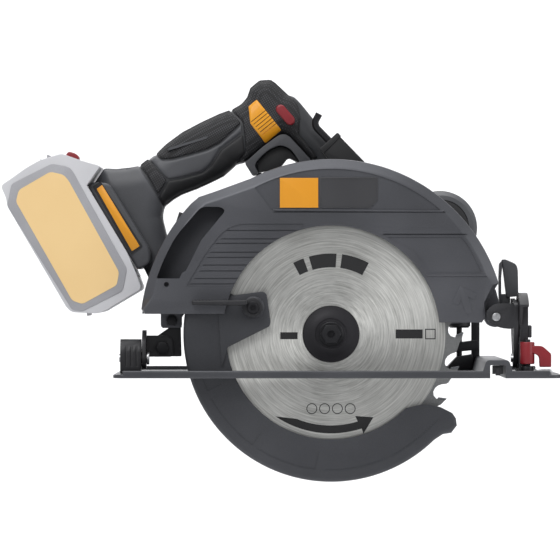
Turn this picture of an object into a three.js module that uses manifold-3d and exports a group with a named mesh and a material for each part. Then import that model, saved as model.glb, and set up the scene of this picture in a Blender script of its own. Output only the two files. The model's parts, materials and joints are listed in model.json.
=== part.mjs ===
// Cordless circular saw with a 190 mm blade, as separate pieces in millimetres.
// +X is the cutting direction, +Y the motor side, +Z up. The origin lies on the sole's
// lower face, straight under the spindle, on the middle plane of the handle.
import * as THREE from 'three';
import { mergeVertices } from 'three/addons/utils/BufferGeometryUtils.js';
import Module from 'manifold-3d';

const wasm = await Module();
wasm.setup();

// ---- driving dimensions ----
const seat = 0.3; // gap between two pieces that rest on each other
const running = 0.4; // gap between pieces that move on each other

const bladeRadius = 95;
const bladeTeeth = 24;
const bladeBore = 8.2;
const kerf = 1.8;
const bladeY = -44;
const cutDepth = 63.8;
const spindleZ = bladeRadius - cutDepth;

const lowerWall = 2;
const lowerHalfWidth = 8;
const lowerRadius = bladeRadius + 11.2;
const lowerInner = bladeRadius - 19.5;
const lowerFrontAngle = -45.7;
const lowerRearAngle = -202;
const lipReach = 5.6;

const guardWall = 2.5;
const guardHalfWidth = 13.5;
const guardRadius = lowerRadius + 19.6;
const bulgeRadius = guardRadius + 11.7;
const windowRadius = bladeRadius - 17;
const guardRearEdge = 45.8;
const guardFrontEdge = 39.6;
const faceY = bladeY - guardHalfWidth;
const backY = bladeY + guardHalfWidth;

const plateWidth = 176;
const plateNearY = -76;
const sheet = 2.6;
const lipTop = 5.4;
const lipWidth = 3;
const pinX = guardRadius - 7.7; // depth pivot
const pinZ = 43.7;
const plateFrontX = pinX + 46.9;
const plateRearX = -guardRadius - 30.2;
const slotClear = 6;
const slotNearY = bladeY - lowerHalfWidth - 1.4;
const slotFarY = bladeY + 27;

const tiltZ = 14; // height of the bevel axis
const tiltPin = 3;
const quadrantRadius = 40;
const quadrantRest = 42; // degrees from upright, towards the motor

const arcRadius = 233; // lock bolt's distance from the depth pivot
const arcInner = 226;
const arcOuter = 240;
const arcThick = 3;
const arcY = backY + 1.5;
const lockHeight = 41;

const snoutRadius = 22;
const snoutY = bladeY + 5;
const flangeRadius = 20.5;
const spindleRadius = 6;
const bearingRadius = 16;
const caseRadius = 27.5;
const caseWall = 3;
const caseEndY = -6.3;

const gearModule = 1;
const gearTeeth = 46;
const pinionTeeth = 14;
const backlash = 0.5;
const gearFace = 10;
const gearY = -21.5;
const shaftAngle = 65;
const shaftDistance = gearModule * (gearTeeth + pinionTeeth) / 2;
const shaftX = shaftDistance * Math.cos(THREE.MathUtils.degToRad(shaftAngle));
const shaftZ = spindleZ + shaftDistance * Math.sin(THREE.MathUtils.degToRad(shaftAngle));

const motorRadius = 33;
const motorWall = 3;
const motorEndY = 75;
const motorCapEndY = 81;
const shaftRadius = 4;
const motorBearingRadius = 11;

const handleHalf = 18;
const batteryHalf = 38;
const padThick = 3;

// ---- small helpers ----
const model = new THREE.Group();

function rad(degrees) {
  return THREE.MathUtils.degToRad(degrees);
}

function polar(radius, degrees, centreX = 0, centreZ = spindleZ) {
  return [centreX + radius * Math.cos(rad(degrees)), centreZ + radius * Math.sin(rad(degrees))];
}

// A three.js geometry as a solid that can be joined and cut.
function toSolid(geometry) {
  geometry.deleteAttribute('normal');
  geometry.deleteAttribute('uv');
  const merged = mergeVertices(geometry, 1e-4);
  return new wasm.Manifold(new wasm.Mesh({
    numProp: 3,
    vertProperties: merged.attributes.position.array,
    triVerts: Uint32Array.from(merged.index.array),
  }));
}

function toGeometry(solid) {
  const mesh = solid.getMesh();
  const geometry = new THREE.BufferGeometry();
  geometry.setAttribute('position', new THREE.BufferAttribute(mesh.vertProperties, 3));
  geometry.setIndex(new THREE.BufferAttribute(mesh.triVerts, 1));
  geometry.computeVertexNormals();
  return geometry;
}

function add(name, solid, colour, roughness = 0.6, metalness = 0) {
  const material = new THREE.MeshStandardMaterial({ color: colour, roughness, metalness });
  const mesh = new THREE.Mesh(toGeometry(solid), material);
  mesh.name = name;
  model.add(mesh);
}

function join(...solids) {
  return solids.reduce((all, next) => all.add(next));
}

function cut(solid, ...tools) {
  return tools.reduce((left, tool) => left.subtract(tool), solid);
}

// A closed outline whose corners are blunted in two steps, by the radius where their sides leave room.
function rounded(points, radius = 0) {
  const shape = new THREE.Shape();
  const corners = points.map(([u, v]) => new THREE.Vector2(u, v));
  corners.forEach((corner, index) => {
    const before = corners.at(index - 1);
    const after = corners[(index + 1) % corners.length];
    const reachIn = Math.min(radius, corner.distanceTo(before) * 0.45);
    const reachOut = Math.min(radius, corner.distanceTo(after) * 0.45);
    const start = corner.clone().add(before.clone().sub(corner).setLength(reachIn));
    const end = corner.clone().add(after.clone().sub(corner).setLength(reachOut));
    if (index === 0) shape.moveTo(start.x, start.y);
    else shape.lineTo(start.x, start.y);
    if (radius === 0) return;
    const middle = start.clone().add(end).multiplyScalar(0.25).add(corner.clone().multiplyScalar(0.5));
    shape.lineTo(middle.x, middle.y);
    shape.lineTo(end.x, end.y);
  });
  shape.closePath();
  return shape;
}

function circle(u, v, radius) {
  const shape = new THREE.Shape();
  shape.absarc(u, v, radius, 0, 2 * Math.PI);
  return shape;
}

function rectangle(u0, u1, v0, v1) {
  return rounded([[u0, v0], [u1, v0], [u1, v1], [u0, v1]]);
}

// The outline that wraps two circles.
function capsule(x0, z0, r0, x1, z1, r1) {
  const along = Math.atan2(z1 - z0, x1 - x0);
  const spread = Math.acos((r0 - r1) / Math.hypot(x1 - x0, z1 - z0));
  const shape = new THREE.Shape();
  shape.absarc(x0, z0, r0, along + spread, along - spread + 2 * Math.PI);
  shape.absarc(x1, z1, r1, along - spread, along + spread);
  return shape;
}

// A sector of a ring, from one angle counter-clockwise to the other.
function sector(u, v, inner, outer, from, to) {
  const shape = new THREE.Shape();
  shape.absarc(u, v, outer, rad(from), rad(to), false);
  shape.absarc(u, v, inner, rad(to), rad(from), true);
  return shape;
}

function extrude(shape, depth, steps) {
  return new THREE.ExtrudeGeometry(shape, { depth, bevelEnabled: false, curveSegments: steps });
}

// An outline in the X-Z plane, as thick as the stretch of Y.
function plateY(shape, low, high, steps = 3) {
  return toSolid(extrude(shape, high - low, steps).rotateX(Math.PI / 2).translate(0, high, 0));
}

// An outline in the X-Y plane, as thick as the stretch of Z.
function plateZ(shape, low, high, steps = 3) {
  return toSolid(extrude(shape, high - low, steps).translate(0, 0, low));
}

// An outline in the Y-Z plane, as thick as the stretch of X.
function plateX(shape, low, high, steps = 3) {
  const turn = new THREE.Matrix4().makeBasis(
    new THREE.Vector3(0, 1, 0), new THREE.Vector3(0, 0, 1), new THREE.Vector3(1, 0, 0));
  return toSolid(extrude(shape, high - low, steps).applyMatrix4(turn).translate(low, 0, 0));
}

function block(x0, x1, y0, y1, z0, z1) {
  return plateZ(rectangle(x0, x1, y0, y1), z0, z1);
}

function rodX(y, z, radius, low, high, steps = 8) {
  return plateX(circle(y, z, radius), low, high, steps);
}

function rodY(x, z, radius, low, high, steps = 8) {
  return plateY(circle(x, z, radius), low, high, steps);
}

function rodZ(x, y, radius, low, high, steps = 8) {
  return plateZ(circle(x, y, radius), low, high, steps);
}

// A rod with its middle at a place and its length along a direction.
function rodAlong(place, direction, radius, length, sides) {
  const turn = new THREE.Quaternion().setFromUnitVectors(
    new THREE.Vector3(0, 1, 0), new THREE.Vector3(...direction).normalize());
  return toSolid(new THREE.CylinderGeometry(radius, radius, length, sides).applyQuaternion(turn)
    .translate(...place));
}

function ringY(x, z, inner, outer, low, high, steps = 8) {
  return cut(rodY(x, z, outer, low, high, steps), rodY(x, z, inner, low - 1, high + 1, steps));
}

function hexagon(u, v, acrossFlats) {
  const corner = acrossFlats / Math.sqrt(3);
  const points = [0, 60, 120, 180, 240, 300].map((angle) => polar(corner, angle, u, v));
  return rounded(points);
}

// A spur gear with straight-sided teeth; one tooth points at the given angle.
function gearOutline(x, z, teeth, pointing) {
  const pitchRadius = gearModule * teeth / 2;
  const pitch = 360 / teeth;
  const shape = [];
  for (let tooth = 0; tooth < teeth; tooth += 1) {
    const middle = pointing + tooth * pitch;
    const slack = THREE.MathUtils.radToDeg(backlash / 2 / pitchRadius);
    const rootHalf = pitch * 0.34 - slack;
    const tipHalf = pitch * 0.13;
    shape.push(polar(pitchRadius - 1.25 * gearModule, middle - rootHalf, x, z));
    shape.push(polar(pitchRadius + 0.9 * gearModule, middle - tipHalf, x, z));
    shape.push(polar(pitchRadius + 0.9 * gearModule, middle + tipHalf, x, z));
    shape.push(polar(pitchRadius - 1.25 * gearModule, middle + rootHalf, x, z));
  }
  return rounded(shape);
}

// ---- base: sole plate, hinge lugs, bevel quadrant, fence clamp ----
function buildBase() {
  const farY = plateNearY + plateWidth;
  const sole = rounded([[plateRearX, plateNearY], [plateFrontX, plateNearY], [plateFrontX, farY],
    [plateRearX, farY]], 8);
  const slotRear = -lowerRadius - slotClear;
  const slotFront = lowerRadius - slotClear;
  const bump = rounded([[pinX - 11.6, 1], [pinX - 7.7, 13], [pinX + 8.4, 13], [pinX + 12.3, 1]], 1.5);
  const channel = rectangle(pinX - 5, pinX + 6, -1, 9.4);
  let plate = join(
    plateZ(sole, 0, sheet),
    block(plateRearX + 4, plateFrontX - 8, plateNearY, plateNearY + lipWidth, 1, lipTop),
    block(plateRearX + 4, plateFrontX - 8, farY - lipWidth, farY, 1, lipTop),
    plateY(bump, plateNearY, farY),
  );
  const sight = rounded([[plateFrontX - 14, bladeY - 3], [plateFrontX + 1, bladeY - 9],
    [plateFrontX + 1, bladeY + 9], [plateFrontX - 14, bladeY + 3]], 1);
  plate = cut(plate,
    plateY(channel, plateNearY - 1, farY + 1),
    plateZ(rounded([[slotRear, slotNearY], [slotFront, slotNearY], [slotFront, slotFarY],
      [slotRear, slotFarY]], 4), -1, lipTop + 1),
    plateZ(sight, -1, lipTop + 1),
    rodZ(pinX + 0.5, plateNearY + 22, tiltPin, 8, 14),
  );
  add('base_plate', plate, 0x47474a, 0.45, 0.6);

  const rearX = plateRearX + 4.5;
  const lug = rounded([[bladeY - 9, sheet + seat], [bladeY + 9, sheet + seat], [bladeY + 9, 20],
    [bladeY + 5, 27.5], [bladeY - 5, 27.5], [bladeY - 9, 20]], 2);
  const ribs = [3.6, 7.4, 11.2].map((step) => cut(
    block(rearX + step, rearX + step + 1.4, bladeY - 10, bladeY + 10, 8, 26),
    rodX(bladeY, tiltZ, tiltPin + 3.6, rearX, rearX + 15)));
  add('rear_hinge_lug', cut(plateX(lug, rearX, rearX + 15), ...ribs.map((rib) => cut(rib,
    block(rearX, rearX + 15, bladeY - 7.5, bladeY + 7.5, 0, 30))),
  rodX(bladeY, tiltZ, tiltPin + seat, rearX - 1, rearX + 16)), 0x39393c, 0.5, 0.4);

  const quadX = pinX + 16.3;
  const outer = quadrantRadius + 7;
  const arm = join(
    plateX(sector(bladeY, tiltZ, 1, outer, 90 - quadrantRest - 12, 125), quadX, quadX + 2.6, 6),
    plateX(rounded([[bladeY - 16, sheet + seat], [bladeY + 30, sheet + seat],
      [bladeY + 42, tiltZ + 20], [bladeY, tiltZ + 12], [bladeY - 16, tiltZ + 16]], 2), quadX, quadX + 2.6),
    plateX(sector(bladeY, tiltZ, outer - 2, outer, 90 - quadrantRest - 12, 125), quadX, quadX + 6.7, 6),
    block(quadX, quadX + 11, bladeY - 16, bladeY + 30, sheet + seat, sheet + seat + 2.4),
  );
  add('bevel_quadrant', cut(arm,
    plateX(sector(bladeY, tiltZ, quadrantRadius - 2.6, quadrantRadius + 2.6,
      90 - quadrantRest - 5, 90 - quadrantRest + 50), quadX - 1, quadX + 4, 6),
    rodX(bladeY, tiltZ, tiltPin + seat, quadX - 1, quadX + 8)), 0x47474a, 0.45, 0.5);

  add('sight_plate', plateZ(rounded([[plateFrontX - 19, bladeY - 24], [plateFrontX - 7.5, bladeY - 24],
    [plateFrontX - 7.5, bladeY - 11], [plateFrontX - 19, bladeY - 11]], 1.5),
  sheet + seat, sheet + seat + 3.4), 0xc9c9cc, 0.3, 0.8);

  const clampX = pinX + 22;
  const clampY = plateNearY + 10.5;
  add('fence_clamp_screw', join(rodZ(clampX, clampY, 4.6, sheet + seat, 8.4),
    rodZ(clampX, clampY, 2.2, 5, 27.6, 8)), 0x2a2a2c, 0.4, 0.8);
  const lever = rounded([[clampX + 1, 23], [clampX + 11, 23], [clampX + 16.5, 17.5], [clampX + 17, 9],
    [clampX + 9, 9], [clampX + 8.5, 16], [clampX + 2, 19.6]], 2);
  add('fence_clamp_lever', cut(join(rodZ(clampX, clampY, 5.2, 10, 25.8),
    plateY(lever, clampY - 4, clampY + 4)),
  rodZ(clampX, clampY, 2.2 + seat, 5, 30, 8)), 0xa3161c, 0.35);
}

// ---- bevel frame: brackets, depth arc, pins, bevel lock ----
function buildBevelFrame() {
  const webX = pinX + 12.9;
  const web = rounded([[bladeY - 18, 36], [bladeY - 18, 53.3], [bladeY + 33, 57], [bladeY + 36, 46],
    [bladeY + 7.5, 10], [bladeY, 6], [bladeY - 7.5, 10]], 3);
  const boltAngle = 90 - quadrantRest;
  const boltY = bladeY + quadrantRadius * Math.cos(rad(boltAngle));
  const boltZ = tiltZ + quadrantRadius * Math.sin(rad(boltAngle));
  const ear = rounded([[pinX - 2, pinZ + 9.6], [webX + 1, pinZ + 9.6], [webX + 1, pinZ - 8.6],
    [pinX + 5, pinZ - 8.6], [pinX - 6, pinZ - 4], [pinX - 8, pinZ + 3]], 4);
  add('front_bevel_bracket', cut(join(
    plateX(web, webX, webX + 3),
    plateY(ear, bladeY - 18, bladeY - 14.4),
    plateY(ear, backY + 2.8, backY + 6.3),
  ), rodY(pinX, pinZ, 3 + seat, bladeY - 20, backY + 8), rodX(boltY, boltZ, 2.3 + seat, webX - 1, webX + 4),
  rodX(bladeY, tiltZ, tiltPin + seat, webX - 1, webX + 4)), 0x3c3c3f, 0.5, 0.4);

  add('front_bevel_pin', join(rodX(bladeY, tiltZ, tiltPin, webX - 1.5, webX + 9),
    rodX(bladeY, tiltZ, tiltPin + 1.8, webX + 6.4, webX + 9)), 0xb9b9bb, 0.3, 1);
  add('depth_pin', join(rodY(pinX, pinZ, 3, bladeY - 18.9, backY + 8),
    rodY(pinX, pinZ, 4.6, backY + 6.6, backY + 8.8)), 0xd6d6d8, 0.2, 1);

  add('bevel_lock_bolt', join(rodX(boltY, boltZ, 2.3, webX - 10, webX + 9),
    plateX(hexagon(boltY, boltZ, 7), webX + 6.4, webX + 9.6)), 0xc4c4c6, 0.25, 1);
  const paddle = rounded([[webX - 4, boltZ + 4], [webX - 1.2, boltZ + 4], [webX + 4.6, boltZ + 9],
    [webX + 4.4, pinZ + 35], [webX + 3, pinZ + 37.5], [webX - 6, pinZ + 41], [webX - 8.4, pinZ + 39],
    [webX - 10, pinZ + 29], [webX - 10, pinZ + 18]], 2.5);
  add('bevel_lock_lever', cut(join(rodX(boltY, boltZ, 6, webX - 7.4, webX - seat),
    cut(plateY(paddle, boltY - 6, boltY + 6),
      block(webX - 1, webX + 9, boltY - 9, boltY + 9, 30, tiltZ + quadrantRadius + 9))),
  rodX(boltY, boltZ, 2.3 + seat, webX - 12, webX + 1)), 0x35353a, 0.5);

  const rearEarX = plateRearX + 20;
  const rearEar = rounded([[bladeY - 8, 12], [bladeY - 5, 27], [bladeY + 4, 33.9], [arcY - seat, 33.9],
    [arcY - seat, 12], [bladeY + 5, 6.2], [bladeY - 5, 6.2]], 3);
  const boltX = rearEarX + 14.5;
  const strap = rounded([[rearEarX, 14.6], [boltX + 7.5, 14.6], [boltX + 7.5, 27], [boltX + 3, 30],
    [rearEarX, 30]], 2);
  add('rear_bevel_bracket', cut(join(plateX(rearEar, rearEarX, rearEarX + 3),
    plateY(strap, arcY - 4, arcY - seat)),
  rodX(bladeY, tiltZ, tiltPin + seat, rearEarX - 1, rearEarX + 4),
  rodY(boltX, 21, 2.5 + seat, arcY - 5, arcY + 1)), 0x3c3c3f, 0.5, 0.4);
  add('rear_bevel_pin', join(rodX(bladeY, tiltZ, tiltPin, plateRearX + 3.5, rearEarX + 4.5),
    rodX(bladeY, tiltZ, tiltPin + 1.8, rearEarX + 3 + seat, rearEarX + 5.3)), 0xb9b9bb, 0.3, 1);
  add('arc_bolt', join(rodY(boltX, 21, 2.5, arcY - 6, arcY + arcThick + 3),
    plateY(hexagon(boltX, 21, 8.7), arcY - 7, arcY - 4 - seat),
    plateY(hexagon(boltX, 21, 8), arcY + arcThick + seat, arcY + arcThick + 4)), 0xb9b9bb, 0.3, 1);

  const high = 180 - 18.4;
  const low = 180 + THREE.MathUtils.radToDeg(Math.asin((pinZ - 35.5) / arcRadius));
  const foot = rounded([[boltX - 6.5, 14.8], [pinX - arcInner, 14.8], [pinX - arcInner - 0.6, 37],
    [pinX - arcRadius, 37], [boltX - 6.5, 28]], 1);
  add('depth_arc', cut(join(
    plateY(sector(pinX, pinZ, arcInner, arcOuter, high, low), arcY, arcY + arcThick, 6),
    plateY(foot, arcY, arcY + arcThick)),
  plateY(sector(pinX, pinZ, arcRadius - 2.4, arcRadius + 2.4, high + 1.2, low - 0.55), arcY - 1,
    arcY + arcThick + 1, 6),
  rodY(boltX, 21, 2.5 + seat, arcY - 1, arcY + arcThick + 1)), 0x3a3a3d, 0.4, 0.7);
}

// ---- upper guard ----
const rearAngle = 180 - THREE.MathUtils.radToDeg(Math.asin((guardRearEdge - spindleZ) / windowRadius));
const frontAngle = THREE.MathUtils.radToDeg(Math.asin((guardFrontEdge - spindleZ) / windowRadius));

// The guard's side view: bulged at the back, round over the top, cut away round the depth pivot.
function guardOutline(inset, bottomLess = 0) {
  const shape = new THREE.Shape();
  const bulgeEnd = 180 - THREE.MathUtils.radToDeg(Math.asin((guardRearEdge - spindleZ) / bulgeRadius));
  const toPoint = ([x, z]) => shape.lineTo(x, z);
  shape.moveTo(windowRadius, guardFrontEdge - bottomLess);
  shape.absarc(0, spindleZ, windowRadius - (inset > 0 ? 40 : 0), rad(frontAngle), rad(rearAngle), false);
  toPoint([-windowRadius, guardRearEdge - bottomLess]);
  toPoint([-bulgeRadius + inset + 3, guardRearEdge - bottomLess]);
  shape.absarc(0, spindleZ, bulgeRadius - inset, rad(bulgeEnd), rad(135), true);
  toPoint(polar(guardRadius + 5.3 - inset, 130));
  shape.absarc(0, spindleZ, guardRadius - inset, rad(117.4), rad(17), true);
  toPoint([pinX - 6.4 - inset, pinZ + 12]);
  toPoint([pinX - 9 - inset, pinZ - 1.9]);
  toPoint([pinX - 11 - inset, guardFrontEdge - bottomLess]);
  shape.closePath();
  return shape;
}

function buildGuard() {
  const backSeam = backY - guardWall - seat;
  const chipWindow = rounded([polar(131, 134.5), polar(117.5, 131), polar(101.5, 138), polar(113.5, 156.5),
    polar(131, 161.8), polar(131, 148)], 3);
  const cover = cut(
    plateY(guardOutline(0), faceY, backSeam, 11),
    plateY(guardOutline(guardWall, 30), faceY + guardWall, backSeam + 1, 11),
    plateY(chipWindow, faceY - 1, faceY + guardWall + 1),
    rodY(-guardRadius + 7.7, spindleZ + 35.7, 1.8, faceY - 1, faceY + guardWall + 1, 4),
  );
  add('upper_guard', cover, 0x4f4f52, 0.6, 0.3);

  const hubRadius = caseRadius + 2.5;
  const plate = join(
    plateY(guardOutline(0.4), backY - guardWall, backY, 11),
    rodY(0, spindleZ, hubRadius, backY - guardWall, backY, 8),
    cut(rodY(0, spindleZ, windowRadius + 2, backY - guardWall, backY, 8),
      block(-guardRadius, guardRadius, backY - 9, backY + 9, -guardRadius, guardFrontEdge)),
    plateY(rounded([[pinX - arcOuter - 1, lockHeight + 8], [pinX - arcOuter - 1, lockHeight - 5.4],
      [pinX - arcRadius + 7.4, lockHeight - 5.4], [pinX - arcRadius + 7.4, lockHeight + 8]], 2),
    backY - guardWall, backY),
    rodY(pinX, pinZ, 7.6, backY - 14, backY + 2.4),
    plateY(rounded([[pinX - 6, pinZ + 3], [pinX + 5, pinZ + 5], [pinX + 1, pinZ + 20],
      [pinX - 10, pinZ + 20]], 1), backY - guardWall, backY),
  );
  add('guard_back', cut(plate,
    rodY(pinX, pinZ, 3 + running, backY - 20, backY + 9),
    rodY(0, spindleZ, snoutRadius + 1, backY - 9, backY + 1, 8),
    rodY(pinX - arcRadius, lockHeight, 2 + seat, backY - 9, backY + 1)), 0x3f3f42, 0.5, 0.4);

  const leverHub = [pinX - arcRadius, lockHeight];
  const leverY = arcY + arcThick + seat;
  add('depth_lock_bolt', join(rodY(...leverHub, 2, backY - guardWall - 3, leverY + 5.5),
    plateY(hexagon(...leverHub, 7), backY - guardWall - 3.4, backY - guardWall - seat)), 0xc4c4c6, 0.25, 1);
  const arm = rounded([[leverHub[0] - 3, leverHub[1]], [leverHub[0] + 4, leverHub[1] - 3],
    [leverHub[0] + 27, leverHub[1] + 33], [leverHub[0] + 20, leverHub[1] + 37]], 2);
  add('depth_lock_lever', cut(join(rodY(...leverHub, 6.5, leverY, leverY + 4.5),
    plateY(arm, leverY, leverY + 3),
    plateY(rounded([[leverHub[0] + 16, leverHub[1] + 26], [leverHub[0] + 22, leverHub[1] + 23],
      [leverHub[0] + 27, leverHub[1] + 33], [leverHub[0] + 20, leverHub[1] + 37]], 2), leverY, leverY + 6)),
  rodY(...leverHub, 2 + seat, leverY - 1, leverY + 9)), 0x35353a, 0.5);
}

// ---- gear case, spindle and blade ----
const lockAngle = 160;
const lockWay = [Math.cos(rad(lockAngle)), 0, Math.sin(rad(lockAngle))];

// A place on the line of the spindle lock, out from the spindle towards the rear.
function lockPlace(distance) {
  const [x, z] = polar(distance, lockAngle);
  return [x, caseEndY - 5.5, z];
}

const knobX = guardRadius - 45.8;
const knobZ = spindleZ + 76.8;

function buildGearCase() {
  const shell = cut(
    join(plateY(capsule(0, spindleZ, caseRadius, shaftX, shaftZ, motorRadius), backY + seat, caseEndY, 7),
      rodY(0, spindleZ, snoutRadius, snoutY, backY + 1)),
    plateY(capsule(0, spindleZ, caseRadius - caseWall, shaftX, shaftZ, motorRadius - caseWall),
      backY + seat + caseWall, caseEndY + 1, 7),
    rodY(0, spindleZ, bearingRadius + seat, snoutY + 1, backY + 9),
    rodY(0, spindleZ, spindleRadius + 1, snoutY - 1, snoutY + 2),
    rodAlong(lockPlace(caseRadius - 2), lockWay, 3.2 + seat, 12, 12),
  );
  add('gear_case', shell, 0x2c2c2e, 0.5, 0.5);
  add('spindle_lock_button', join(
    rodAlong(lockPlace(caseRadius), lockWay, 3.2, 9, 12),
    rodAlong(lockPlace(caseRadius + 5.6), lockWay, 5, 2.6, 12),
  ), 0x1f1f21, 0.5);
  add('spindle_bearing_front', ringY(0, spindleZ, spindleRadius + seat, bearingRadius, snoutY + 1.3,
    backY + 3), 0xb5b5b8, 0.25, 1);
  add('spindle_bearing_rear', ringY(0, spindleZ, spindleRadius + seat, motorBearingRadius,
    caseEndY + 0.6, caseEndY + 7), 0xb5b5b8, 0.25, 1);
}


function bladeOutline() {
  const step = 360 / bladeTeeth;
  const points = [];
  for (let tooth = 0; tooth < bladeTeeth; tooth += 1) {
    const tip = tooth * step;
    points.push(polar(bladeRadius, tip), polar(bladeRadius - 7, tip - 0.6));
    points.push(polar(bladeRadius - 10, tip + 1.8), polar(bladeRadius - 9.4, tip + 4.2));
    points.push(polar(bladeRadius - 5, tip + 6.6), polar(bladeRadius - 2.2, tip + 8.4));
  }
  const shape = rounded(points);
  shape.holes.push(circle(0, spindleZ, bladeBore));
  return shape;
}

function buildSpindle() {
  add('saw_blade', plateY(bladeOutline(), bladeY - kerf / 2, bladeY + kerf / 2, 12), 0xc8c8ca, 0.3, 1);
  const innerFlange = join(rodY(0, spindleZ, flangeRadius, bladeY + kerf / 2 + seat, snoutY - running),
    rodY(0, spindleZ, bladeBore - seat, bladeY - kerf / 2, bladeY + kerf));
  const nose = rodY(0, spindleZ, 5 + seat, bladeY - 20, snoutY + 1);
  add('inner_flange', cut(innerFlange, nose), 0x2c2c2e, 0.4, 0.8);
  const outerY = bladeY - kerf / 2 - seat;
  add('outer_flange', cut(join(rodY(0, spindleZ, flangeRadius, outerY - 2.6, outerY),
    rodY(0, spindleZ, flangeRadius - 6, outerY - 4.2, outerY)), nose), 0x2c2c2e, 0.4, 0.7);
  const boltY = outerY - 4.2 - seat;
  add('blade_bolt', cut(join(rodY(0, spindleZ, 9, boltY - 1.4, boltY),
    plateY(hexagon(0, spindleZ, 13), boltY - 6.4, boltY), rodY(0, spindleZ, 3.4, boltY - 2, boltY + 18)),
  plateY(hexagon(0, spindleZ, 5), boltY - 7, boltY - 3)), 0x3a3a3c, 0.3, 0.9);
  add('spindle', cut(join(rodY(0, spindleZ, 5, outerY - 3.6, snoutY + 1),
    rodY(0, spindleZ, spindleRadius, snoutY - running + seat / 2, caseEndY + 7)),
  rodY(0, spindleZ, 3.4 + seat, outerY - 9, boltY + 19)), 0xa9a9ac, 0.3, 1);
  const gap = 180 / gearTeeth;
  const gear = gearOutline(0, spindleZ, gearTeeth, shaftAngle + gap);
  add('drive_gear', cut(plateY(gear, gearY - gearFace / 2, gearY + gearFace / 2),
    rodY(0, spindleZ, spindleRadius + seat, gearY - 9, gearY + 9)), 0x8f8f92, 0.35, 1);
}

// ---- motor ----
function bearingPlate(grow) {
  return join(
    plateY(capsule(0, spindleZ, caseRadius + grow, shaftX, shaftZ, motorRadius + grow), caseEndY + seat - grow,
      caseEndY + 8.3 + grow, 7),
    plateY(capsule(knobX, knobZ, 12 + grow, shaftX, shaftZ, 24 + grow), caseEndY + seat - grow,
      caseEndY + 8.3 + grow, 12));
}

function buildMotor() {
  const frontY = caseEndY + 8.3;
  const axis = [shaftX, shaftZ];
  const vents = [-40, -10, 20, 150, 180, 210].map((angle) => {
    const spot = polar(motorRadius, angle, ...axis);
    return block(spot[0] - 6, spot[0] + 6, frontY + 3, frontY + 13, spot[1] - 1.6, spot[1] + 1.6);
  });
  add('motor_housing', cut(
    join(bearingPlate(0), rodY(...axis, motorRadius, frontY - 1, motorEndY)),
    rodY(...axis, motorRadius - motorWall, frontY, motorEndY + 1),
    rodY(...axis, motorBearingRadius + seat, caseEndY - 1, frontY - 1),
    rodY(...axis, shaftRadius + 1, frontY - 2, frontY + 1),
    rodY(0, spindleZ, motorBearingRadius + seat, caseEndY - 1, frontY - 1),
    rodY(knobX, knobZ, 3 + seat, caseEndY - 1, frontY + 1),
    ...vents,
  ), 0x2a2a2d, 0.55);
  const capVents = [0, 60, 120, 180, 240, 300].map((angle) => plateY(
    sector(...axis, motorBearingRadius + 6, motorRadius - 8, angle - 20, angle + 20),
    motorEndY, motorCapEndY + 1, 4));
  add('motor_end_cap', cut(
    join(rodY(...axis, motorRadius, motorEndY + seat, motorCapEndY),
      rodY(...axis, motorBearingRadius + 3, motorEndY - 6, motorCapEndY - 1)),
    rodY(...axis, motorBearingRadius + seat, motorEndY - 7, motorEndY + 1.6), ...capVents), 0x232325, 0.5);
  add('motor_bearing_front', ringY(...axis, shaftRadius + seat, motorBearingRadius, caseEndY + 0.6,
    frontY - 1 - seat), 0xb5b5b8, 0.25, 1);
  add('motor_bearing_rear', ringY(...axis, shaftRadius + seat, motorBearingRadius, motorEndY - 5.6,
    motorEndY + 1.3), 0xb5b5b8, 0.25, 1);
  const fanRadius = motorRadius - 7;
  const stator = cut(rodY(...axis, motorRadius - motorWall - seat, 16, 58),
    rodY(...axis, 17.5, 15, 59),
    ...[30, 90, 150, 210, 270, 330].map((angle) => plateY(
      sector(...axis, 19.5, motorRadius - 7, angle - 20, angle + 20), 15, 59, 3)),
    ...[30, 90, 150, 210, 270, 330].map((angle) => plateY(
      sector(...axis, 17, 20, angle - 4, angle + 4), 15, 59, 2)));
  add('stator', stator, 0x9a5a2c, 0.5, 0.6);
  add('motor_shaft', rodY(...axis, shaftRadius, gearY - gearFace / 2 - 0.4, motorEndY + 1.2),
    0xa9a9ac, 0.3, 1);
  add('motor_pinion', cut(plateY(gearOutline(...axis, pinionTeeth, shaftAngle + 180), gearY - gearFace / 2,
    gearY + gearFace / 2), rodY(...axis, shaftRadius + seat, gearY - 9, gearY + 9)), 0x8f8f92, 0.35, 1);
  add('rotor_core', ringY(...axis, shaftRadius + seat, 16.6, 16, 58), 0x6b6b6e, 0.4, 0.9);
  const blades = [];
  for (let angle = 0; angle < 360; angle += 40) {
    blades.push(plateY(sector(...axis, 10, fanRadius, angle, angle + 5), 5.5, 12, 2));
  }
  add('fan', cut(join(rodY(...axis, fanRadius, 4, 6), rodY(...axis, 8, 4, 12), ...blades),
    rodY(...axis, shaftRadius + seat, 2, 14)), 0x1d1d1f, 0.6);
  const grip = toSolid(new THREE.LatheGeometry([[0, 28], [19, 28], [24, 23], [27, 12], [27, -13], [24, -26],
    [19, -31], [0, -31]].map(([r, y]) => new THREE.Vector2(r, -y)), 32));
  const arm = join(plateY(capsule(knobX, knobZ, 12 + running, shaftX, shaftZ, 24 + running),
    caseEndY, caseEndY + 8.3 + seat, 12));
  add('front_knob', cut(grip.translate([knobX, 4, knobZ]), arm), 0x2a2a2d, 0.6);
  add('work_light', cut(rodY(knobX - 14, knobZ - 41, 6, caseEndY - 1, frontY + 10), bearingPlate(seat)),
    0xe8eef2, 0.15);
}

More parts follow.
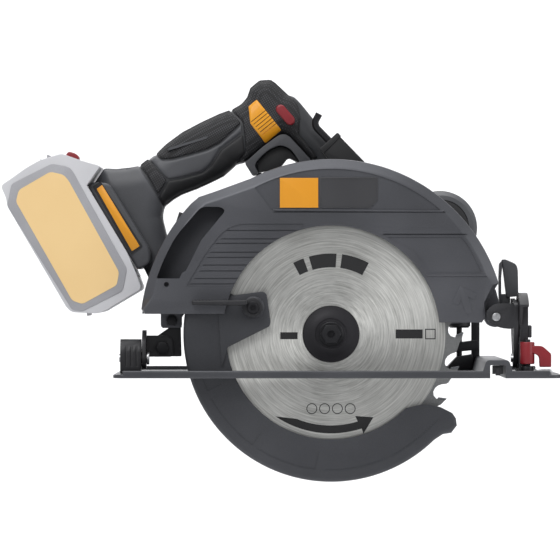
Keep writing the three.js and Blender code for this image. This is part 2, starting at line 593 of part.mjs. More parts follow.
// ---- lower guard ----
function buildLowerGuard() {
  const nearY = bladeY - lowerHalfWidth;
  const farY = bladeY + lowerHalfWidth;
  const rim = lowerRadius - 28.7;
  const leverHub = [-55.9, spindleZ + 19.1];
  const outline = new THREE.Shape();
  outline.absarc(0, spindleZ, lowerRadius, rad(lowerFrontAngle), rad(lowerRearAngle), true);
  outline.absarc(0, spindleZ, lowerInner, rad(lowerRearAngle), rad(lowerFrontAngle + 1), false);
  [[lowerRadius - 24, -38], [lowerRadius - 19.7, -35.8], [lowerRadius - 11, -33.7], [lowerRadius - 2, -33.1],
    [lowerRadius + 2, -34], [lowerRadius + lipReach, -36], [lowerRadius + lipReach, -39.4],
    [lowerRadius + 1.6, -41.9]].forEach(([radius, angle]) => outline.lineTo(...polar(radius, angle)));
  outline.closePath();
  const arm = rounded([[-lowerInner - 3, spindleZ - 24], [-lowerInner + 0.5, spindleZ - 13],
    [-lowerInner + 1, spindleZ - 9.5], [-44.3, spindleZ + 5.6], [-43.4, spindleZ + 8], [-46.3, spindleZ + 29.2],
    [-49.1, spindleZ + 30.7], [-71.3, spindleZ + 27.8], [-lowerInner - 6, spindleZ + 24]], 2);
  const hubWeb = sector(0, spindleZ, snoutRadius + 3, lowerInner + 2, 150, 212);
  const body = join(
    cut(plateY(outline, nearY, farY), rodY(0, spindleZ, lowerRadius - lowerWall, nearY + lowerWall,
      farY - lowerWall, 20)),
    plateY(arm, nearY, nearY + lowerWall),
    rodY(...leverHub, 8, nearY - 8, nearY + lowerWall),
    plateY(hubWeb, farY - lowerWall, farY, 12),
    rodY(0, spindleZ, snoutRadius + 6, farY - lowerWall, farY + 1.6),
  );
  add('lower_guard', cut(body, rodY(0, spindleZ, snoutRadius + running, farY - 9, farY + 9),
    rodY(...leverHub, 2.3 + seat, nearY - 20, nearY + 9)), 0x4b4b4e, 0.55, 0.3);
  add('guard_spring', cut(ringY(0, spindleZ, snoutRadius + 7, snoutRadius + 9.6, farY + seat, farY + 2.6),
    block(-4, 4, farY + 1, farY + 5, spindleZ, spindleZ + 40)), 0x8c8c90, 0.3, 1);
  const leverY = nearY - 8 - seat;
  add('guard_lever', cut(join(rodY(...leverHub, 8, leverY - 3.4, leverY),
    block(leverHub[0] - 43.9, leverHub[0] - 4, leverY - 12, leverY, spindleZ + 21, spindleZ + 24.4)),
  rodY(...leverHub, 2.3 + seat, leverY - 15, leverY + 9)), 0x38383b, 0.5);
  add('guard_lever_screw', cut(join(rodY(...leverHub, 2.3, leverY - 4, leverY + 9),
    rodY(...leverHub, 4.4, leverY - 7, leverY - 3.4 - seat)),
  plateY(hexagon(...leverHub, 3.6), leverY - 8, leverY - 4.6)), 0x2a2a2c, 0.3, 0.9);
}

// ---- handle: places are measured from the corner behind and above the guard ----
function hand([dx, dz]) {
  return [dx - guardRadius, dz + spindleZ + guardRadius];
}

function handOutline(points, radius = 0) {
  return rounded(points.map(hand), radius);
}

const gripTop = [[-1, 4.5], [6, 11.5], [18, 20], [31.5, 27.5], [54.5, 36.5]];
const slideAngle = 121; // battery's way off, measured from +X towards +Z
const slideWay = [Math.cos(rad(slideAngle)), Math.sin(rad(slideAngle))];
const keyAngle = 134;
const lockOff = [[89.5, 37], [96.5, 29]];

// A place on the battery's seat: u along the way off, v out from the handle.
function along(u, v) {
  return [slideWay[0] * u - slideWay[1] * v - 21, slideWay[1] * u + slideWay[0] * v - 67.5];
}

function lowered(points, drop) {
  return points.map(([dx, dz]) => [dx + drop * 0.45, dz - drop]);
}

function buildHandle() {
  const motorCorner = [shaftX + guardRadius, shaftZ - spindleZ - guardRadius];
  const near = ([dx, dz]) => [motorCorner[0] + dx, motorCorner[1] + dz];
  const outline = handOutline([[-12.5, -3.5], ...lowered(gripTop, padThick), [61, 41], [65.5, 46], [68, 53],
    [74.5, 58], [82, 58.5], [93.5, 48.5], [99.5, 47.5], [125, 18.5], [152, -8], near([34, 42]), near([16, 0]),
    near([-34, -8]), [60, -100], [14, -96], [-5.5, -87.5], [-10.5, -77], [-14.5, -77.5], [-18.5, -67.5],
    [-47.5, -19], [-38.5, -6], [-30, -6.5], [-20.5, -5.5]], 3);
  const fingerGap = handOutline([[5.5, -32.5], [18, -24], [29, -20], [40, -14.5], [48, -10.5], [56.5, -3],
    [63.5, -2], [76.5, 9], [90.5, 19.5], [95, 17.5], [111.5, 0], near([-13, 45]), near([-30, 25]), [84, -75],
    [12, -68], [7.5, -56], [3.5, -41]], 3);
  const cavity = handOutline([[-6, -8], [6, 4], [20, 12], [34, 19], [58, 29], [66, 34], [71, 48], [81, 52],
    [94, 40], [118, 17], [113, 8], [95, 24], [89, 25], [74, 13.5], [62, 3], [52, 1.5], [40, -7], [28, -14],
    [16, -19], [6, -26], [-1, -32], [0, -50], [3, -62], [-2, -78], [-8, -72], [-11, -66], [-38, -21],
    [-33, -11], [-20, -10]], 1.5);
  const capsuleOf = (grow) => {
    const [[x0, z0], [x1, z1]] = lockOff.map(hand);
    return capsule(x0, z0, 3.6 + grow, x1, z1, 3.6 + grow - 0.001);
  };
  const stem = (grow) => handOutline([[82 - grow, 4], [89 + grow, 4], [80 + grow, 25], [73 - grow, 25]]);
  const cutters = [
    plateY(fingerGap, -60, 60),
    bearingPlate(running),
    plateY(capsule(0, spindleZ, caseRadius + running, shaftX, shaftZ, motorRadius + running), -60, 60, 7),
    rodY(knobX, knobZ, 27.6, -60, 60),
    plateY(capsuleOf(running), -30, 30),
    plateY(stem(running), -4 - running, 4 + running),
    plateY(handOutline([along(11.7, -14), along(34.3, -14), along(34.3, 3), along(11.7, 3)]), -12.3, 12.3),
  ];
  for (const [name, side] of [['handle_right', -1], ['handle_left', 1]]) {
    const low = side < 0 ? -handleHalf : seat / 2;
    const inner = side < 0 ? -handleHalf + 3 : -1;
    add(name, cut(plateY(outline, low, low + handleHalf - seat / 2),
      plateY(cavity, inner, inner + handleHalf - 2), ...cutters), 0x2b2b2e, 0.6);
    const panel = handOutline([[72, 44.5], [66, 39.5], [67, 26.5], [78.5, 14.5], [88.5, 22.5]], 1.5);
    const panelY = side < 0 ? -handleHalf - seat - 1.2 : handleHalf + seat;
    add(side < 0 ? 'panel_right' : 'panel_left', plateY(panel, panelY, panelY + 1.2), 0xeca925, 0.45);
  }
  add('grip_rubber', plateY(handOutline([[-12.5, -2.9], ...lowered(gripTop, padThick - seat - 0.2), [60, 40.5],
    ...[...gripTop].reverse(), [-7, 1]]), -handleHalf, handleHalf), 0x1f1f21, 0.85);

  add('trigger', join(
    plateY(handOutline([[73, -1.5], [77.5, 3.5], [82, 7.5], [89.5, 10.5], [96, 8], [101.5, 1], [103.5, -1.5],
      [95, 2.5], [90.5, -4], [86.5, -6], [77.5, -8], [74, -8.5]], 2), -8, 8),
    plateY(stem(0), -4, 4)), 0x1c1c1e, 0.5);
  add('lock_off_button', plateY(capsuleOf(0), -handleHalf - 1.6, handleHalf + 1.6), 0xa3161c, 0.4);
  add('switch_module', plateY(handOutline([[45, 12], [64, 22], [70, 22], [66, 10], [52, 3]]),
    6 - handleHalf, handleHalf - 6), 0x151516, 0.5);
  add('control_board', plateY(handOutline([[-30, -22], [-26, -19.5], [-4, -56], [-8, -58.5]]),
    5 - handleHalf, handleHalf - 5), 0x1f6b3a, 0.6);

  const holderEnd = hand([125.5, 19]);
  const holder = (low, high, halfWidth) => {
    const bar = rectangle(-34, 0, -halfWidth, halfWidth);
    return toSolid(extrude(bar, high - low, 6).rotateX(Math.PI / 2).translate(0, high, 0)
      .rotateY(-rad(keyAngle)).translate(holderEnd[0] + 4, 0, holderEnd[1] - 8));
  };
  const keyWay = [Math.cos(rad(keyAngle)), 0, Math.sin(rad(keyAngle))];
  const keyBar = (radius, low, high) => {
    const middle = (low + high) / 2;
    return rodAlong([holderEnd[0] + 4 + keyWay[0] * middle, -handleHalf - 4.8,
      holderEnd[1] - 8 + keyWay[2] * middle], keyWay, radius, high - low, 6);
  };
  add('key_holder', cut(holder(-handleHalf - 9, -handleHalf - seat, 8), keyBar(3.3, -50, 30)),
    0x2a2a2c, 0.6);
  const [shortX, shortZ] = hand([117.9, 28.4]);
  add('hex_key', join(keyBar(2.6, -45, 18.5),
    rodAlong([shortX, -handleHalf - 4.8, shortZ], [0.34, 0, 0.94], 2.6, 11, 6)), 0x8a8a8e, 0.3, 1);
}

// ---- battery ----
function buildBattery() {
  const outline = handOutline([[-40.5, -4.5], [-55.5, -0.5], [-68.5, 4.5], [-75.5, 2.5], [-85, -1], [-95, -6.5],
    [-112.5, -19], [-108.5, -28], [-108, -33.5], [-64.5, -107.5], [-61, -110], [-40.5, -111], [-10.5, -93.5],
    [-15.5, -80], along(0, 0), along(57, 0)], 3);
  const cavity = handOutline([along(82, 8), along(82, 50), along(-9, 54), along(-24, 39.5), along(-24, 8),
    along(-18, 8), along(-18, -4), along(50, -4), along(50, 8)]);
  const latchWell = handOutline([[-69, 14], [-67, -4], [-57, -4], [-55, 14]]);
  add('battery_case', cut(plateY(outline, -batteryHalf, batteryHalf),
    plateY(cavity, -batteryHalf + 3, batteryHalf - 3), plateY(latchWell, -12, 12)), 0xc9c9cb, 0.5);
  add('battery_cover', plateY(handOutline([along(-17.5, 2), along(49.5, 2), along(49.5, 6.5), along(-17.5, 6.5)]),
    -batteryHalf + 3.4, batteryHalf - 3.4), 0xb4b4b6, 0.5);
  const cells = [plateY(handOutline([along(-10, 18), along(64, 18), along(64, 41), along(-10, 41)]), -2, 2)];
  for (const depth of [18.5, 37.5]) {
    for (const place of [-11, 8.5, 28, 47.5, 67]) {
      cells.push(rodY(...hand(along(place, depth)), 9.2, -32.5, 32.5, 5));
    }
  }
  add('battery_cells', join(...cells), 0x3f6fa0, 0.4);
  add('battery_latch', cut(plateY(handOutline([[-66.9, 4], [-66, 0], [-58, 0], [-57, 2], [-59.5, 5],
    [-65, 6.5]], 1), -11.4, 11.4)), 0xb52a2f, 0.4);
  add('terminal_block', plateY(handOutline([along(12, -9), along(34, -9), along(34, -3), along(12, -3)]),
    -12, 12), 0x1a1a1c, 0.5);
}

buildBase();
buildBevelFrame();
buildGuard();
buildGearCase();
buildSpindle();
buildMotor();
buildLowerGuard();
buildHandle();
buildBattery();

export default model;
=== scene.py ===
"""Battery circular saw: the finished looks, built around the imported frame."""

import json
import logging
import math
from dataclasses import dataclass
from enum import Enum
from functools import cached_property
from typing import Any, Callable, Iterable, Optional, Sequence, Union

import bmesh
import bpy
import numpy as np
from mathutils import Matrix, Vector


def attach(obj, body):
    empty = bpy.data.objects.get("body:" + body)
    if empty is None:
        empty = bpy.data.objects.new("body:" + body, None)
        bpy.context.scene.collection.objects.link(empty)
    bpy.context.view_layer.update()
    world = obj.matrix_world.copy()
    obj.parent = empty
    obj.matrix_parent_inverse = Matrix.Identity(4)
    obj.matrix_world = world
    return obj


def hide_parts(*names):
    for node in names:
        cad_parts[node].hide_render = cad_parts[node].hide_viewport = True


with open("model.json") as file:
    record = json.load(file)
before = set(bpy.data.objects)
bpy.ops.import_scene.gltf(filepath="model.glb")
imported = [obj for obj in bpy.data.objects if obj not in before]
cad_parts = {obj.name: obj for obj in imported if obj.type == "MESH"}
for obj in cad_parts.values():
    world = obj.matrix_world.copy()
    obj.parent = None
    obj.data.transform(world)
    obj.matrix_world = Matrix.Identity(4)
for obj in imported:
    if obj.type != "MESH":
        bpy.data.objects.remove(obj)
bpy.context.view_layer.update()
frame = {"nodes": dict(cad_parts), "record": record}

MM = 0.001
Point = Sequence[float]
Value = Any
Shape = bmesh.types.BMesh
Piece = bpy.types.Object
Tree = bpy.types.NodeTree
Colour = tuple[float, float, float, float]
log = logging.getLogger("saw")

BLADE_Y = -44.0
SPINDLE = (0.0, 31.2)
HANDLE_TURN = 31.0


# ---------------------------------------------------------------- node helpers


def linear(code: str) -> Colour:
    """Turn a colour as seen into the one that light is worked out with.

    Args:
        code: sRGB colour as six hex digits.

    Returns:
        Linear red, green, blue and an alpha of one.
    """
    parts = [int(code[i : i + 2], 16) / 255 for i in (0, 2, 4)]
    low = [c / 12.92 if c <= 0.04045 else ((c + 0.055) / 1.055) ** 2.4 for c in parts]
    return (low[0], low[1], low[2], 1.0)


def add_node(
    tree: Tree,
    kind: str,
    settings: Optional[dict[str, Value]] = None,
    inputs: Optional[dict[Union[str, int], Value]] = None,
) -> bpy.types.Node:
    """Add one node with its settings, values and links.

    Args:
        tree: The node tree that gets it.
        kind: The node's type, without its ShaderNode prefix.
        settings: Attributes to set on the node.
        inputs: What each input socket holds, or the output that feeds it.

    Returns:
        The node.
    """
    node = tree.nodes.new("ShaderNode" + kind)
    for name, value in (settings or {}).items():
        setattr(node, name, value)
    for name, value in (inputs or {}).items():
        if isinstance(value, bpy.types.NodeSocket):
            tree.links.new(value, node.inputs[name])
        else:
            node.inputs[name].default_value = value
    return node


def ramp(
    tree: Tree, fac: bpy.types.NodeSocket, stops: Sequence[tuple[float, str]]
) -> bpy.types.NodeSocket:
    """Turn a pattern's value into a colour.

    Args:
        tree: The node tree.
        fac: The pattern.
        stops: Places from 0 to 1 with the sRGB hex colour at each.

    Returns:
        The colour output.
    """
    node = add_node(tree, "ValToRGB", None, {"Fac": fac})
    elements = node.color_ramp.elements
    while len(elements) < len(stops):
        elements.new(0.5)
    for element, (place, code) in zip(elements, stops):
        element.position = place
        element.color = linear(code)
    return node.outputs["Color"]


def span(
    tree: Tree, value: bpy.types.NodeSocket, low: float, high: float
) -> bpy.types.NodeSocket:
    """Stretch a pattern from 0..1 to low..high.

    Args:
        tree: The node tree.
        value: The pattern.
        low: What 0 becomes.
        high: What 1 becomes.

    Returns:
        The stretched value.
    """
    made = add_node(tree, "MapRange", None, {0: value, 3: low, 4: high})
    return made.outputs[0]


def per_mm(size: float) -> float:
    """The texture scale that repeats a pattern every size millimetres."""
    return 1000.0 / size


def noise(tree: Tree, place: Value, size: float, detail: float) -> Value:
    """An uneven pattern with features of a size in millimetres, from 0 to 1."""
    inputs = {"Vector": place, "Scale": per_mm(size), "Detail": detail}
    return add_node(tree, "TexNoise", None, inputs).outputs[0]


def blend(tree: Tree, pattern: Value, share: float, base: Value) -> Value:
    """A share of one pattern added to another."""
    return add_node(
        tree, "Math", {"operation": "MULTIPLY_ADD"}, {0: pattern, 1: share, 2: base}
    ).outputs[0]


# ---------------------------------------------------------------- finishes


class Relief(Enum):
    """What a moulded surface is covered with."""

    SPARK = "spark erosion grain"
    DOTS = "raised dots in rows"


@dataclass(frozen=True)
class Finish:
    """What every finish has.

    Attributes:
        name: The material with how its surface was made.
        colour: The sRGB hex colour in even light.
        shade: The darker sRGB hex colour it drifts to; on the dotted rubber it is the painted shade
            between the dots.
        rough: The roughness at its smoothest.
    """

    name: str
    colour: str
    shade: str
    rough: float

    def start(self) -> tuple[bpy.types.Material, Tree, bpy.types.Node, Any]:
        """Make the empty material.

        Returns:
            The material, its tree, its shader and the object's own coordinates.
        """
        material = bpy.data.materials.new(self.name)
        material.use_nodes = True
        tree = material.node_tree
        tree.nodes.clear()
        shader = add_node(tree, "BsdfPrincipled")
        out = add_node(tree, "OutputMaterial", None, {"Surface": shader.outputs[0]})
        out.location = (400, 0)
        place = add_node(tree, "TexCoord").outputs["Object"]
        return material, tree, shader, place

    def cover(
        self,
        tree: Tree,
        shader: bpy.types.Node,
        pattern: Value,
        stops: tuple[float, float],
        height: Value,
        strength: float,
        depth: float,
        wear: tuple[Value, float],
    ) -> None:
        """Put the colour, the relief and the roughness on the shader.

        Args:
            tree: The node tree.
            shader: The shader.
            pattern: What the colour follows.
            stops: Where in the pattern the shade and the colour lie.
            height: What the relief follows.
            strength: How strongly the relief shows.
            depth: Its depth in millimetres.
            wear: What the roughness follows, and how far it rises.
        """
        colour = ramp(tree, pattern, [(stops[0], self.shade), (stops[1], self.colour)])
        inputs = {"Height": height, "Strength": strength, "Distance": depth * MM}
        bump = add_node(tree, "Bump", None, inputs)
        rough = span(tree, wear[0], self.rough, self.rough + wear[1])
        tree.links.new(colour, shader.inputs["Base Color"])
        tree.links.new(bump.outputs[0], shader.inputs["Normal"])
        tree.links.new(rough, shader.inputs["Roughness"])


@dataclass(frozen=True)
class Moulded(Finish):
    """Injection moulded plastic or rubber.

    Attributes:
        grain: The size of the surface grain in millimetres.
        depth: How deep the grain is, in millimetres.
        relief: What the grain is.
        coat: The strength of a clear gloss skin.
        lean: The angle its rows lie at in the side view, in degrees.
    """

    grain: float = 0.5
    depth: float = 0.03
    relief: Relief = Relief.SPARK
    coat: float = 0.0
    lean: float = HANDLE_TURN

    def build(self) -> bpy.types.Material:
        """Make the material."""
        material, tree, shader, place = self.start()
        broad = noise(tree, place, 60, 3.0)
        fine = noise(tree, place, self.grain, 2.0)
        dotted = self.relief is Relief.DOTS
        height = fine
        if dotted:
            tilt = {"Vector": place, "Rotation": (0.0, math.radians(self.lean), 0.0)}
            leant = add_node(tree, "Mapping", None, tilt).outputs[0]
            rows = {"Vector": leant, "Scale": per_mm(self.grain), "Randomness": 0.0}
            dots = add_node(tree, "TexVoronoi", None, rows).outputs["Distance"]
            height = add_node(
                tree, "Math", {"operation": "MULTIPLY"}, {0: dots, 1: -1.6}
            ).outputs[0]
        # On the dotted rubber the colour follows the dots' height: painted shade between the dots,
        # lighter dot tops.
        mixed = blend(tree, height, 0.75, broad) if dotted else blend(tree, fine, 0.3, broad)
        stops = (0.0, 0.5) if dotted else (0.35, 0.85)
        self.cover(tree, shader, mixed, stops, height, 0.7, self.depth, (broad, 0.14))
        shader.inputs["IOR"].default_value = 1.5
        shader.inputs["Coat Weight"].default_value = self.coat
        return material


@dataclass(frozen=True)
class Coated(Finish):
    """Metal under a baked powder or enamel coat.

    Attributes:
        peel: The size of the coat's slight orange peel, in millimetres.
        depth: How deep the peel is, in millimetres.
        metal: How much of the metal shows through.
    """

    peel: float = 0.9
    depth: float = 0.02
    metal: float = 0.35

    def build(self) -> bpy.types.Material:
        """Make the material."""
        material, tree, shader, place = self.start()
        broad = noise(tree, place, 90, 3.0)
        peel = noise(tree, place, self.peel, 1.0)
        mixed = blend(tree, noise(tree, place, 0.45, 0.0), 0.22, broad)
        self.cover(tree, shader, mixed, (0.38, 0.82), peel, 0.5, self.depth, (broad, 0.12))
        shader.inputs["Metallic"].default_value = self.metal
        return material


class Grain(Enum):
    """Which way a metal was ground or turned."""

    TURNED = "round the spindle"
    STRAIGHT = "along the part"
    NONE = "plated"


@dataclass(frozen=True)
class BareMetal(Finish):
    """Steel or copper with no paint on it.

    Attributes:
        grain: Which way it was ground.
        streak: The spacing of the grinding marks, in millimetres.
        polar: How strongly the highlight is drawn out across the marks.
    """

    grain: Grain = Grain.NONE
    streak: float = 1.1
    polar: float = 0.0

    def build(self) -> bpy.types.Material:
        """Make the material."""
        material, tree, shader, place = self.start()
        broad = noise(tree, place, 35, 3.0)
        if self.grain is Grain.TURNED:
            marks = self.turned(tree, shader, place)
        else:
            stretch = (1.0, 1.0, 0.06) if self.grain is Grain.STRAIGHT else (1.0, 1.0, 1.0)
            drawn = add_node(tree, "Mapping", None, {"Vector": place, "Scale": stretch})
            marks = noise(tree, drawn.outputs[0], self.streak, 4.0)
        mixed = blend(tree, broad, 0.3, marks)
        self.cover(tree, shader, mixed, (0.42, 0.85), marks, 0.3, 0.02, (marks, 0.16))
        shader.inputs["Metallic"].default_value = 1.0
        return material

    def turned(self, tree: Tree, shader: bpy.types.Node, place: Any) -> Any:
        """Grinding marks in rings round the spindle.

        Args:
            tree: The node tree.
            shader: The shader whose highlight follows the rings.
            place: The coordinates.

        Returns:
            The height of the marks.
        """
        centre = (0.0, -BLADE_Y * MM, -SPINDLE[1] * MM)
        about = add_node(tree, "Mapping", None, {"Vector": place, "Location": centre}).outputs[0]
        apart = add_node(tree, "SeparateXYZ", None, {0: about})
        flat = add_node(
            tree, "CombineXYZ", None, {"X": apart.outputs["X"], "Z": apart.outputs["Z"]}
        )
        reach = add_node(tree, "VectorMath", {"operation": "LENGTH"}, {0: flat.outputs[0]})
        turn = add_node(
            tree,
            "Math",
            {"operation": "ARCTAN2"},
            {0: apart.outputs["Z"], 1: apart.outputs["X"]},
        )
        bent = add_node(tree, "Math", {"operation": "MULTIPLY"}, {0: turn.outputs[0], 1: 0.0022})
        rings = add_node(
            tree, "CombineXYZ", None, {"X": reach.outputs["Value"], "Y": bent.outputs[0]}
        )
        marks = add_node(
            tree,
            "TexNoise",
            {"noise_dimensions": "2D"},
            {
                "Vector": rings.outputs[0],
                "Scale": per_mm(self.streak),
                "Detail": 5.0,
                "Roughness": 0.7,
            },
        ).outputs[0]
        round_way = add_node(
            tree,
            "VectorMath",
            {"operation": "CROSS_PRODUCT"},
            {0: flat.outputs[0], 1: (0.0, 1.0, 0.0)},
        )
        world = add_node(
            tree,
            "VectorTransform",
            {"vector_type": "VECTOR", "convert_from": "OBJECT", "convert_to": "WORLD"},
            {0: round_way.outputs[0]},
        )
        unit = add_node(tree, "VectorMath", {"operation": "NORMALIZE"}, {0: world.outputs[0]})
        tree.links.new(unit.outputs[0], shader.inputs["Tangent"])
        shader.inputs["Anisotropic"].default_value = self.polar
        return marks


# ---------------------------------------------------------------- the saw's finishes


def make_finishes() -> dict[str, bpy.types.Material]:
    """Every finish of the saw by its short name."""
    made = {
        # Magnesium under grey powder coat: satin, with a faint peel and dark specks.
        "guard": Coated("cast_magnesium_powder_coated", "5B5C61", "46474B", 0.36, metal=0.45),
        # The lower guard's zinc casting under a darker coat of the same kind.
        "lower": Coated("die_cast_guard_powder_coated", "4C4D51", "3B3C40", 0.38, metal=0.4),
        # Steel sole under dark enamel: smoother and a little glossier.
        "sole": Coated("steel_sole_enamelled", "505155", "3F4044", 0.34, peel=1.6, metal=0.4),
        # Pressed and punched steel under black paint.
        "bracket": Coated("pressed_steel_black_coated", "323235", "222224", 0.4, metal=0.35),
        # Blade steel ground in rings: bright, with a highlight drawn out across the rings.
        "blade": BareMetal(
            "blade_steel_ring_ground", "E4E4E0", "ADADA9", 0.3, grain=Grain.TURNED, polar=0.7
        ),
        # The toothed rim is left sanded, so it is duller and plainer.
        "rim": BareMetal("blade_steel_sanded", "989999", "7C7D7E", 0.42, Grain.NONE, 0.6),
        # Tungsten carbide tips, ground: darker and cold.
        "carbide": BareMetal("carbide_ground", "8F9295", "6E7174", 0.3, Grain.STRAIGHT, 0.5),
        # Zinc plated screws and pins: pale, faintly clouded.
        "zinc": BareMetal("steel_zinc_plated", "D4D5D6", "A4A5A8", 0.24, Grain.NONE, 2.5),
        # Black oxide steel: nearly black, with a soft oily sheen.
        "oxide": Coated("steel_black_oxide", "2B2B2E", "1B1B1D", 0.36, peel=2.0, metal=0.6),
        "hub": Coated("flange_black_oxide", "2C2B2F", "1C1B1E", 0.42, peel=3.0, metal=0.5),
        # Glass filled nylon, spark eroded mould: dark grey, fine even grain.
        "housing": Moulded("nylon_glass_filled_moulded", "333437", "232427", 0.42, 0.45, 0.03),
        # The same nylon in a lighter grey, for the bare fields of the grip.
        "shell": Moulded("nylon_grey_moulded", "4B4C50", "36373A", 0.4, 0.45, 0.025),
        "black": Moulded("nylon_black_moulded", "1E1E20", "111113", 0.42, 0.45, 0.02),
        # Thermoplastic rubber over the grip: matt, with rows of small raised dots; its colour is
        # painted shade between the dots, lighter on the dot tops.
        "grip": Moulded(
            "rubber_overmoulded_dotted_painted_shade", "454549", "151517", 0.62, 1.5, 0.45, Relief.DOTS
        ),
        # The same rubber from a plain mould, on the underside and the knob.
        "rubber": Moulded("rubber_overmoulded_plain", "1E1E20", "111113", 0.5, 0.7, 0.03),
        # Coloured ABS, polished mould: even colour with a soft gloss.
        "yellow": Moulded("abs_yellow_moulded", "E39A14", "D98F0E", 0.36, 0.5, 0.008, coat=0.2),
        "red": Moulded("acetal_red_moulded", "86141F", "6B0E18", 0.34, 0.5, 0.01, coat=0.2),
        # The pack's pale ABS, its mid grey trim and the film on it.
        "pack": Moulded("abs_pale_grey_moulded", "C9C9CC", "B9B9BD", 0.44, 0.5, 0.02),
        "pack_dark": Moulded("abs_mid_grey_moulded", "A2A2A6", "8E8E93", 0.44, 0.5, 0.02),
        "pale_yellow": Moulded("label_film_pale_yellow", "E9C88F", "E4C187", 0.4, 0.6, 0.004),
        # Printed vinyl labels: flat, slightly glossy film.
        "label": Moulded("label_film_yellow", "DE9512", "D88E0D", 0.34, 0.6, 0.004, coat=0.3),
        "label_dark": Moulded("label_film_dark", "37373A", "2C2C2F", 0.36, 0.6, 0.004, coat=0.3),
        # Print on bare steel: a thin flat black film.
        "ink": Moulded("screen_print_black", "1A1A1C", "101012", 0.5, 0.8, 0.002),
        # Inner parts: wound copper, lacquered board, shrunk cell wrap, ground bearing steel.
        "copper": BareMetal("copper_wound", "C07A4A", "8E4F2A", 0.3, Grain.STRAIGHT, 0.9),
        "board": Moulded("circuit_board_lacquered", "1F6B3A", "164F2A", 0.3, 2.0, 0.03, coat=0.4),
        "wrap": Moulded("cell_wrap_shrunk", "3D6FA8", "2F598A", 0.35, 0.9, 0.02, coat=0.3),
        "bearing": BareMetal("bearing_steel_ground", "CFCFD2", "9D9DA1", 0.2, Grain.TURNED, 0.8),
    }
    return {name: finish.build() for name, finish in made.items()}


SLOT_FINISH = {
    "sole_enamel": "sole",
    "black_steel": "bracket",
    "guard_enamel": "guard",
    "bright_steel": "zinc",
    "blade_steel": "blade",
    "bearing_steel": "bearing",
    "black_plastic": "housing",
    "grip_rubber": "grip",
    "yellow_plastic": "yellow",
    "red_plastic": "red",
    "battery_grey": "pack",
    "copper": "copper",
    "green_board": "board",
    "cell_wrap": "wrap",
    "lamp_lens": "zinc",
}

NODE_FINISH = {
    "upper_guard": "guard",
    "guard_back": "guard",
    "lower_guard": "lower",
    "saw_blade": "blade",
    "outer_flange": "hub",
    "blade_bolt": "oxide",
    "guard_lever_screw": "oxide",
    "fence_clamp_screw": "oxide",
    "arc_bolt": "oxide",
    "depth_lock_bolt": "oxide",
    "handle_right": "housing",
    "handle_left": "housing",
    "key_holder": "black",
    "trigger": "black",
    "spindle_lock_button": "black",
    "front_knob": "rubber",
}


# ---------------------------------------------------------------- mesh helpers


def round_off(
    shape: Shape, geom: Sequence[Any], size: float, steps: int, affect: str
) -> None:
    """Round the given edges or corners by a size in millimetres.

    Args:
        shape: The mesh.
        geom: The edges or the corners.
        size: How much of each side the rounding takes.
        steps: The number of sides of the rounding.
        affect: "EDGES" or "VERTICES".
    """
    bmesh.ops.bevel(
        shape,
        geom=geom,
        offset=size * MM,
        offset_type="OFFSET",
        segments=steps,
        profile=0.5,
        affect=affect,
        material=-1,
        clamp_overlap=True,
    )


def face_of(
    outline: Sequence[Point], y: float, corner: float = 0.0, steps: int = 4
) -> Shape:
    """A flat face in the side view, with its corners rounded.

    Args:
        outline: Its corners as (x, z) or (x, z, own corner size), in millimetres.
        y: How far across the saw it lies.
        corner: How much of each side a corner's rounding takes.
        steps: The number of sides a corner gets.

    Returns:
        A mesh with that one face.
    """
    shape = bmesh.new()
    ring = [shape.verts.new((p[0] * MM, y * MM, p[1] * MM)) for p in outline]
    sizes = [p[2] if len(p) > 2 else corner for p in outline]
    shape.faces.new(ring)
    for size in sorted(set(sizes)):
        if size <= 0:
            continue
        chosen = [v for v, s in zip(ring, sizes) if s == size and v.is_valid]
        round_off(shape, chosen, size, steps, "VERTICES")
    return shape


def raise_face(shape: Shape, by: Point) -> None:
    """Draw a flat face out into a solid.

    Args:
        shape: The mesh with the face.
        by: How far, as a shift in millimetres.
    """
    made = bmesh.ops.extrude_face_region(shape, geom=shape.faces[:], use_keep_orig=True)
    bmesh.ops.translate(shape, vec=[b * MM for b in by], verts=verts_in(made))
    bmesh.ops.recalc_face_normals(shape, faces=shape.faces[:])


def verts_in(made: dict[str, Any]) -> list[bmesh.types.BMVert]:
    """The corners among what a mesh operation made."""
    return [v for v in made["geom"] if isinstance(v, bmesh.types.BMVert)]


def soften(
    shape: Shape,
    size: float,
    steps: int = 3,
    where: Optional[Callable[[bmesh.types.BMEdge], bool]] = None,
    sharpest: float = 35.0,
) -> None:
    """Round the edges that turn more than an angle.

    Args:
        shape: The mesh.
        size: The width of the rounding in millimetres.
        steps: The number of sides of the rounding.
        where: Which edges count.
        sharpest: The least turn of an edge in degrees.
    """
    edges = [
        e
        for e in shape.edges
        if len(e.link_faces) == 2
        and e.calc_face_angle(0.0) > math.radians(sharpest)
        and (where is None or where(e))
    ]
    if edges:
        round_off(shape, edges, size, steps, "EDGES")


def on_side(*depths: float) -> Callable[[bmesh.types.BMEdge], bool]:
    """A test for edges that lie at one of some depths across the saw."""
    near = 0.05 * MM
    return lambda e: any(all(abs(v.co.y - y * MM) < near for v in e.verts) for y in depths)


def plate(
    outline: Sequence[Point],
    near: float,
    far: float,
    corner: float = 0.0,
    near_edge: float = 0.0,
    far_edge: float = 0.0,
    steps: int = 3,
) -> Shape:
    """A plate cut to a side view outline, with its outer edges rounded.

    Args:
        outline: Its corners in millimetres.
        near: The depth of its face towards the cutting side.
        far: The depth of its other face.
        corner: The rounding of its corners.
        near_edge: The rounding round its near face.
        far_edge: The rounding round its far face.
        steps: The sides of a rounding.

    Returns:
        The plate.
    """
    shape = face_of(outline, near, corner)
    raise_face(shape, (0, far - near, 0))
    if near_edge:
        soften(shape, near_edge, steps, on_side(near))
    if far_edge:
        soften(shape, far_edge, steps, on_side(far))
    return shape


def pair(outline: Sequence[Point], low: float, high: float) -> list[Shape]:
    """The same plate on both sides of the middle, from one depth to another."""
    return [plate(outline, *sorted((side * low, side * high))) for side in (-1, 1)]


